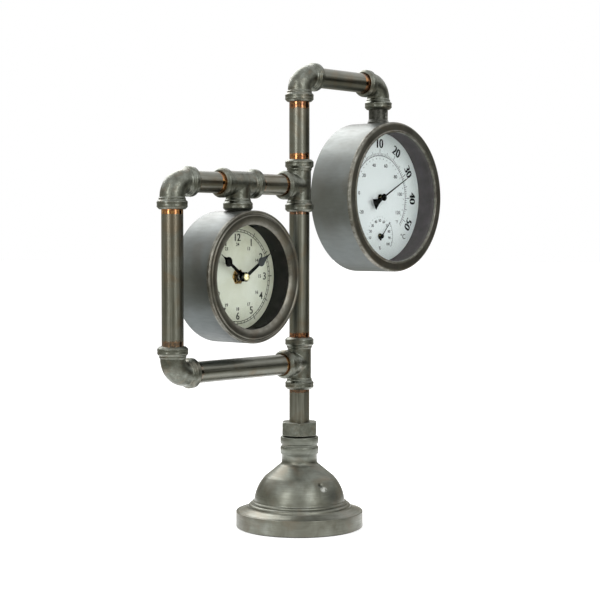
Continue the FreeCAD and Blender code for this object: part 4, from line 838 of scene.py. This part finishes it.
dressed(joined("celsius_print", bold), gauge_ink)
fine = [printed(str(warmth), 3.9 * MM, around(face, FAHRENHEIT_RING, (warmth - 50) * DEGREES_PER_FAHRENHEIT),
                spread=0.3 * MM, narrow=1.1) for warmth in range(-20, 121, 20)]
fine += [ring_line(face, SCALE_LINE, 0.6 * MM, -129, 129),
         marks(face, SCALE_LINE, 49.5 * MM, 0.6 * MM, -129, 129, 87),
         marks(face, SCALE_LINE, 51.5 * MM, 0.7 * MM, -120, 120, 17),
         marks(face, SCALE_LINE, 54.0 * MM, 0.7 * MM, -120, 120, 9),
         marks(face, 42.4 * MM, 43.8 * MM, 0.8 * MM, -116.667, 116.667, 29)]
fine += [printed("°C", 5.8 * MM, face + Vector((42.5, 0, -43.5)) * MM, spread=0.3 * MM, narrow=1.1),
         printed("°F", 3.8 * MM, face + Vector((31.0, 0, -27.0)) * MM, spread=0.3 * MM),
         printed("%", 3.6 * MM, face + Vector((0, 0, -56.4)) * MM, spread=0.3 * MM)]
hub = middle_of("hygrometer_bush")
small = Vector((hub.x, face.y, hub.z))
fine += [printed(str(damp), 3.1 * MM, around(small, HUMIDITY_RING, (damp - 50) * DEGREES_PER_HUMIDITY),
                 spread=0.3 * MM, narrow=1.05) for damp in range(10, 101, 10)]
fine += [marks(small, 21.3 * MM, 22.5 * MM, 0.5 * MM, -96, 120, 19),
         ring_line(small, 23.3 * MM, 0.5 * MM, 48, 120)]
dressed(joined("fine_print", fine), fine_ink)

# Hands and needles: stamped sheet, painted matt black, pressed on their arbors.
HAND_BLACK = (0.004, 0.004, 0.004)
HAND_WORN = (0.01, 0.01, 0.009)
LEAF_PAINTED_SHEEN = (0.075, 0.08, 0.082)


def painted(name, leaf):
    """Matt black; `leaf` is how far the broad leaf of a hand is painted grey, as a painted sheen."""
    material, shader = finish(name, 0.0, 0.55, specular_ior_level=0.08)
    speck = grain(shader, 1.2 * MM, detail=3)
    base = ramp(shader, speck, (0.3, HAND_BLACK), (0.8, HAND_WORN))
    out = away(shader, CLOCK, (1, 0, 1))
    painted_sheen = sum_of(shader, "MULTIPLY", graded(shader, out, 21 * MM, 24 * MM, 0.0, leaf),
                    graded(shader, out, 34 * MM, 38 * MM, 1.0, 0.0))
    coloured(shader, blended(shader, painted_sheen, base, LEAF_PAINTED_SHEEN))
    roughened(shader, graded(shader, speck, 0.3, 0.7, 0.48, 0.62))
    bumped(shader, (speck, 0.01 * MM))
    return material


wear(painted("hand_black", 0.0), "hour_hand", "thermometer_needle", "hygrometer_needle")
# The minute hand's broad leaf gets a painted sheen of grey.
wear(painted("minute_hand_black", 0.85), "minute_hand")


def brass(name, dark, bright):
    """Turned brass with a little tarnish."""
    material, shader = finish(name, 1.0, 0.24)
    tarnish = grain(shader, 2.5 * MM, detail=4)
    coloured(shader, ramp(shader, tarnish, (0.35, dark), (0.65, bright)))
    roughened(shader, graded(shader, tarnish, 0.3, 0.7, 0.2, 0.36))
    bumped(shader, (tarnish, 0.01 * MM))
    return material


wear(brass("nut_brass", (0.36, 0.22, 0.08), (0.62, 0.42, 0.17)), "shaft_nut")
wear(brass("cap_brass", (0.6, 0.52, 0.27), (0.86, 0.8, 0.52)), "hand_cap_nut",
     "thermometer_spindle", "hygrometer_spindle")
# The bushes behind the hubs take a darkened brass: painted shade.
wear(brass("shaded_bush_brass", (0.07, 0.065, 0.04), (0.2, 0.18, 0.11)), "thermometer_bush", "hygrometer_bush")

# Glasses: flat window glass in each bezel's recess, with faint wiping marks.
window, shader = finish("window_glass", 0.0, 0.0, ior=1.45, transmission_weight=1.0)
wiped = grain(shader, 18 * MM, stretch=(1, 1, 0.4), detail=5)
coloured(shader, ramp(shader, wiped, (0.3, (0.96, 0.98, 0.975)), (0.7, (0.985, 0.995, 0.99))))
roughened(shader, graded(shader, wiped, 0.5, 0.8, 0.0, 0.03))
wear(window, "clock_glass", "gauge_glass")

# Camera at the photograph's place and angle, looking slightly down.
CAMERA_AT = (-1.20992, -1.060434, 0.305089)
CAMERA_PITCH = 2.314
CAMERA_TURN = 48.79
LENS = 91.64
camera_data = bpy.data.cameras.new("camera")
camera_data.lens = LENS
camera_data.sensor_width = 36.0
camera = bpy.data.objects.new("camera", camera_data)
camera.location = CAMERA_AT
camera.rotation_euler = (math.radians(90 - CAMERA_PITCH), 0, math.radians(-CAMERA_TURN))
bpy.context.scene.collection.objects.link(camera)
bpy.context.scene.camera = camera

# Studio: white paper floor, a soft box at either side of the camera and one behind and above the part.
# Dark cloth hangs round the set and lies round its middle, so that the metal reflects a horizon.
# A black card darkens what the glasses reflect, and the white behind them is brighter, so the dials stay clear.
FLOOR_SIZE = 30.0
TARGET = Vector((0.0, 0.0, 0.25))
CLOTH_HOLE = 0.42
CLOTH_REACH = 2.6
CLOTH_HEIGHT = 1.15
CLOTH = (0.4, 0.39, 0.33)
CARD_AWAY = 1.5
CARD_SIZE = (1.1, 0.8)
CARD_AT = 0.3
BEHIND_GLASS = 1.93
PAPER = (0.75, 0.75, 0.75)
PAPER_GLOW = 0.66
SKY_FILL = 0.75


def soft_box(name, turn, height, distance, wide, tall, power):
    """Rectangular lamp that looks at the object; `turn` is degrees clockwise from the front, seen from above."""
    lamp_data = bpy.data.lights.new(name, "AREA")
    lamp_data.shape = "RECTANGLE"
    lamp_data.size = wide
    lamp_data.size_y = tall
    lamp_data.energy = power
    lamp = bpy.data.objects.new(name, lamp_data)
    angle = math.radians(turn)
    lamp.location = (-distance * math.sin(angle), -distance * math.cos(angle), height)
    lamp.rotation_euler = (TARGET - lamp.location).to_track_quat("-Z", "Y").to_euler()
    lamp.visible_camera = False
    bpy.context.scene.collection.objects.link(lamp)


soft_box("left_box", CAMERA_TURN + 38, 0.9, 1.7, 0.5, 1.3, 9)
soft_box("right_box", CAMERA_TURN - 34, 0.9, 1.7, 0.5, 1.3, 7)
soft_box("rear_box", 200, 1.25, 1.05, 1.1, 1.1, 13)

bpy.ops.object.select_all(action="DESELECT")
bpy.ops.mesh.primitive_plane_add(size=FLOOR_SIZE, location=(0, 0, 0))
floor = bpy.context.object
floor.name = "floor"
paper, shader = finish("floor_paper", 0.0, 0.9)
shader.inputs["Base Color"].default_value = (*PAPER, 1.0)
path = put(shader, "ShaderNodeLightPath").outputs
through = sum_of(shader, "MULTIPLY", path["Is Transmission Ray"], BEHIND_GLASS)
seen = sum_of(shader, "MAXIMUM", sum_of(shader, "MAXIMUM", path["Is Camera Ray"], path["Is Glossy Ray"]), through)
shader.inputs["Emission Color"].default_value = (1, 1, 1, 1)
shader.id_data.links.new(sum_of(shader, "MULTIPLY", seen, PAPER_GLOW), shader.inputs["Emission Strength"])
floor.data.materials.append(paper)
floor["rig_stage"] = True

bpy.ops.object.select_all(action="DESELECT")
bpy.ops.mesh.primitive_circle_add(vertices=64, radius=CLOTH_HOLE, location=(0, 0, 2 * MM))
cloth = bpy.context.object
cloth.name = "dark_cloth"
bpy.ops.object.mode_set(mode="EDIT")
bpy.ops.mesh.select_all(action="SELECT")
bpy.ops.mesh.extrude_edges_move()
bpy.ops.transform.resize(value=(CLOTH_REACH / CLOTH_HOLE,) * 2 + (1,), center_override=(0, 0, 2 * MM))
bpy.ops.mesh.extrude_edges_move(TRANSFORM_OT_translate={"value": (0, 0, CLOTH_HEIGHT)})
bpy.ops.object.mode_set(mode="OBJECT")
black_cloth, shader = finish("dark_cloth", 0.0, 1.0)
shader.inputs["Base Color"].default_value = (0, 0, 0, 1.0)
shader.inputs["Emission Color"].default_value = (*CLOTH, 1.0)
shader.inputs["Emission Strength"].default_value = 1.0
cloth.data.materials.append(black_cloth)

card_turn = math.radians(CAMERA_TURN)
card_place = (CARD_AWAY * math.sin(card_turn), -CARD_AWAY * math.cos(card_turn), CARD_AT)
bpy.ops.object.select_all(action="DESELECT")
bpy.ops.mesh.primitive_plane_add(size=1, location=card_place, rotation=(math.radians(90), 0, card_turn))
card = bpy.context.object
card.name = "black_card"
card.scale = (*CARD_SIZE, 1)
flock, shader = finish("black_card", 0.0, 1.0, specular_ior_level=0.0)
shader.inputs["Base Color"].default_value = (0, 0, 0, 1.0)
card.data.materials.append(flock)
for screen in (cloth, card):
    screen.visible_camera = False
    screen.visible_diffuse = False
    screen.visible_transmission = screen is card
    screen.visible_shadow = False
    screen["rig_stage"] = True

world = bpy.data.worlds.new("studio")
bpy.context.scene.world = world
world.use_nodes = True
sky = world.node_tree.nodes["Background"]
sky.inputs["Color"].default_value = (1, 1, 1, 1)
path = put(sky, "ShaderNodeLightPath").outputs
seen = graded(sky, sum_of(sky, "MAXIMUM", path["Is Camera Ray"], path["Is Glossy Ray"]), 0.0, 1.0, SKY_FILL, 1.0)
through = sum_of(sky, "MULTIPLY", path["Is Transmission Ray"], BEHIND_GLASS)
sky.id_data.links.new(sum_of(sky, "MAXIMUM", seen, through), sky.inputs["Strength"])

bpy.context.scene.view_settings.view_transform = "Standard"

low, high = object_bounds()
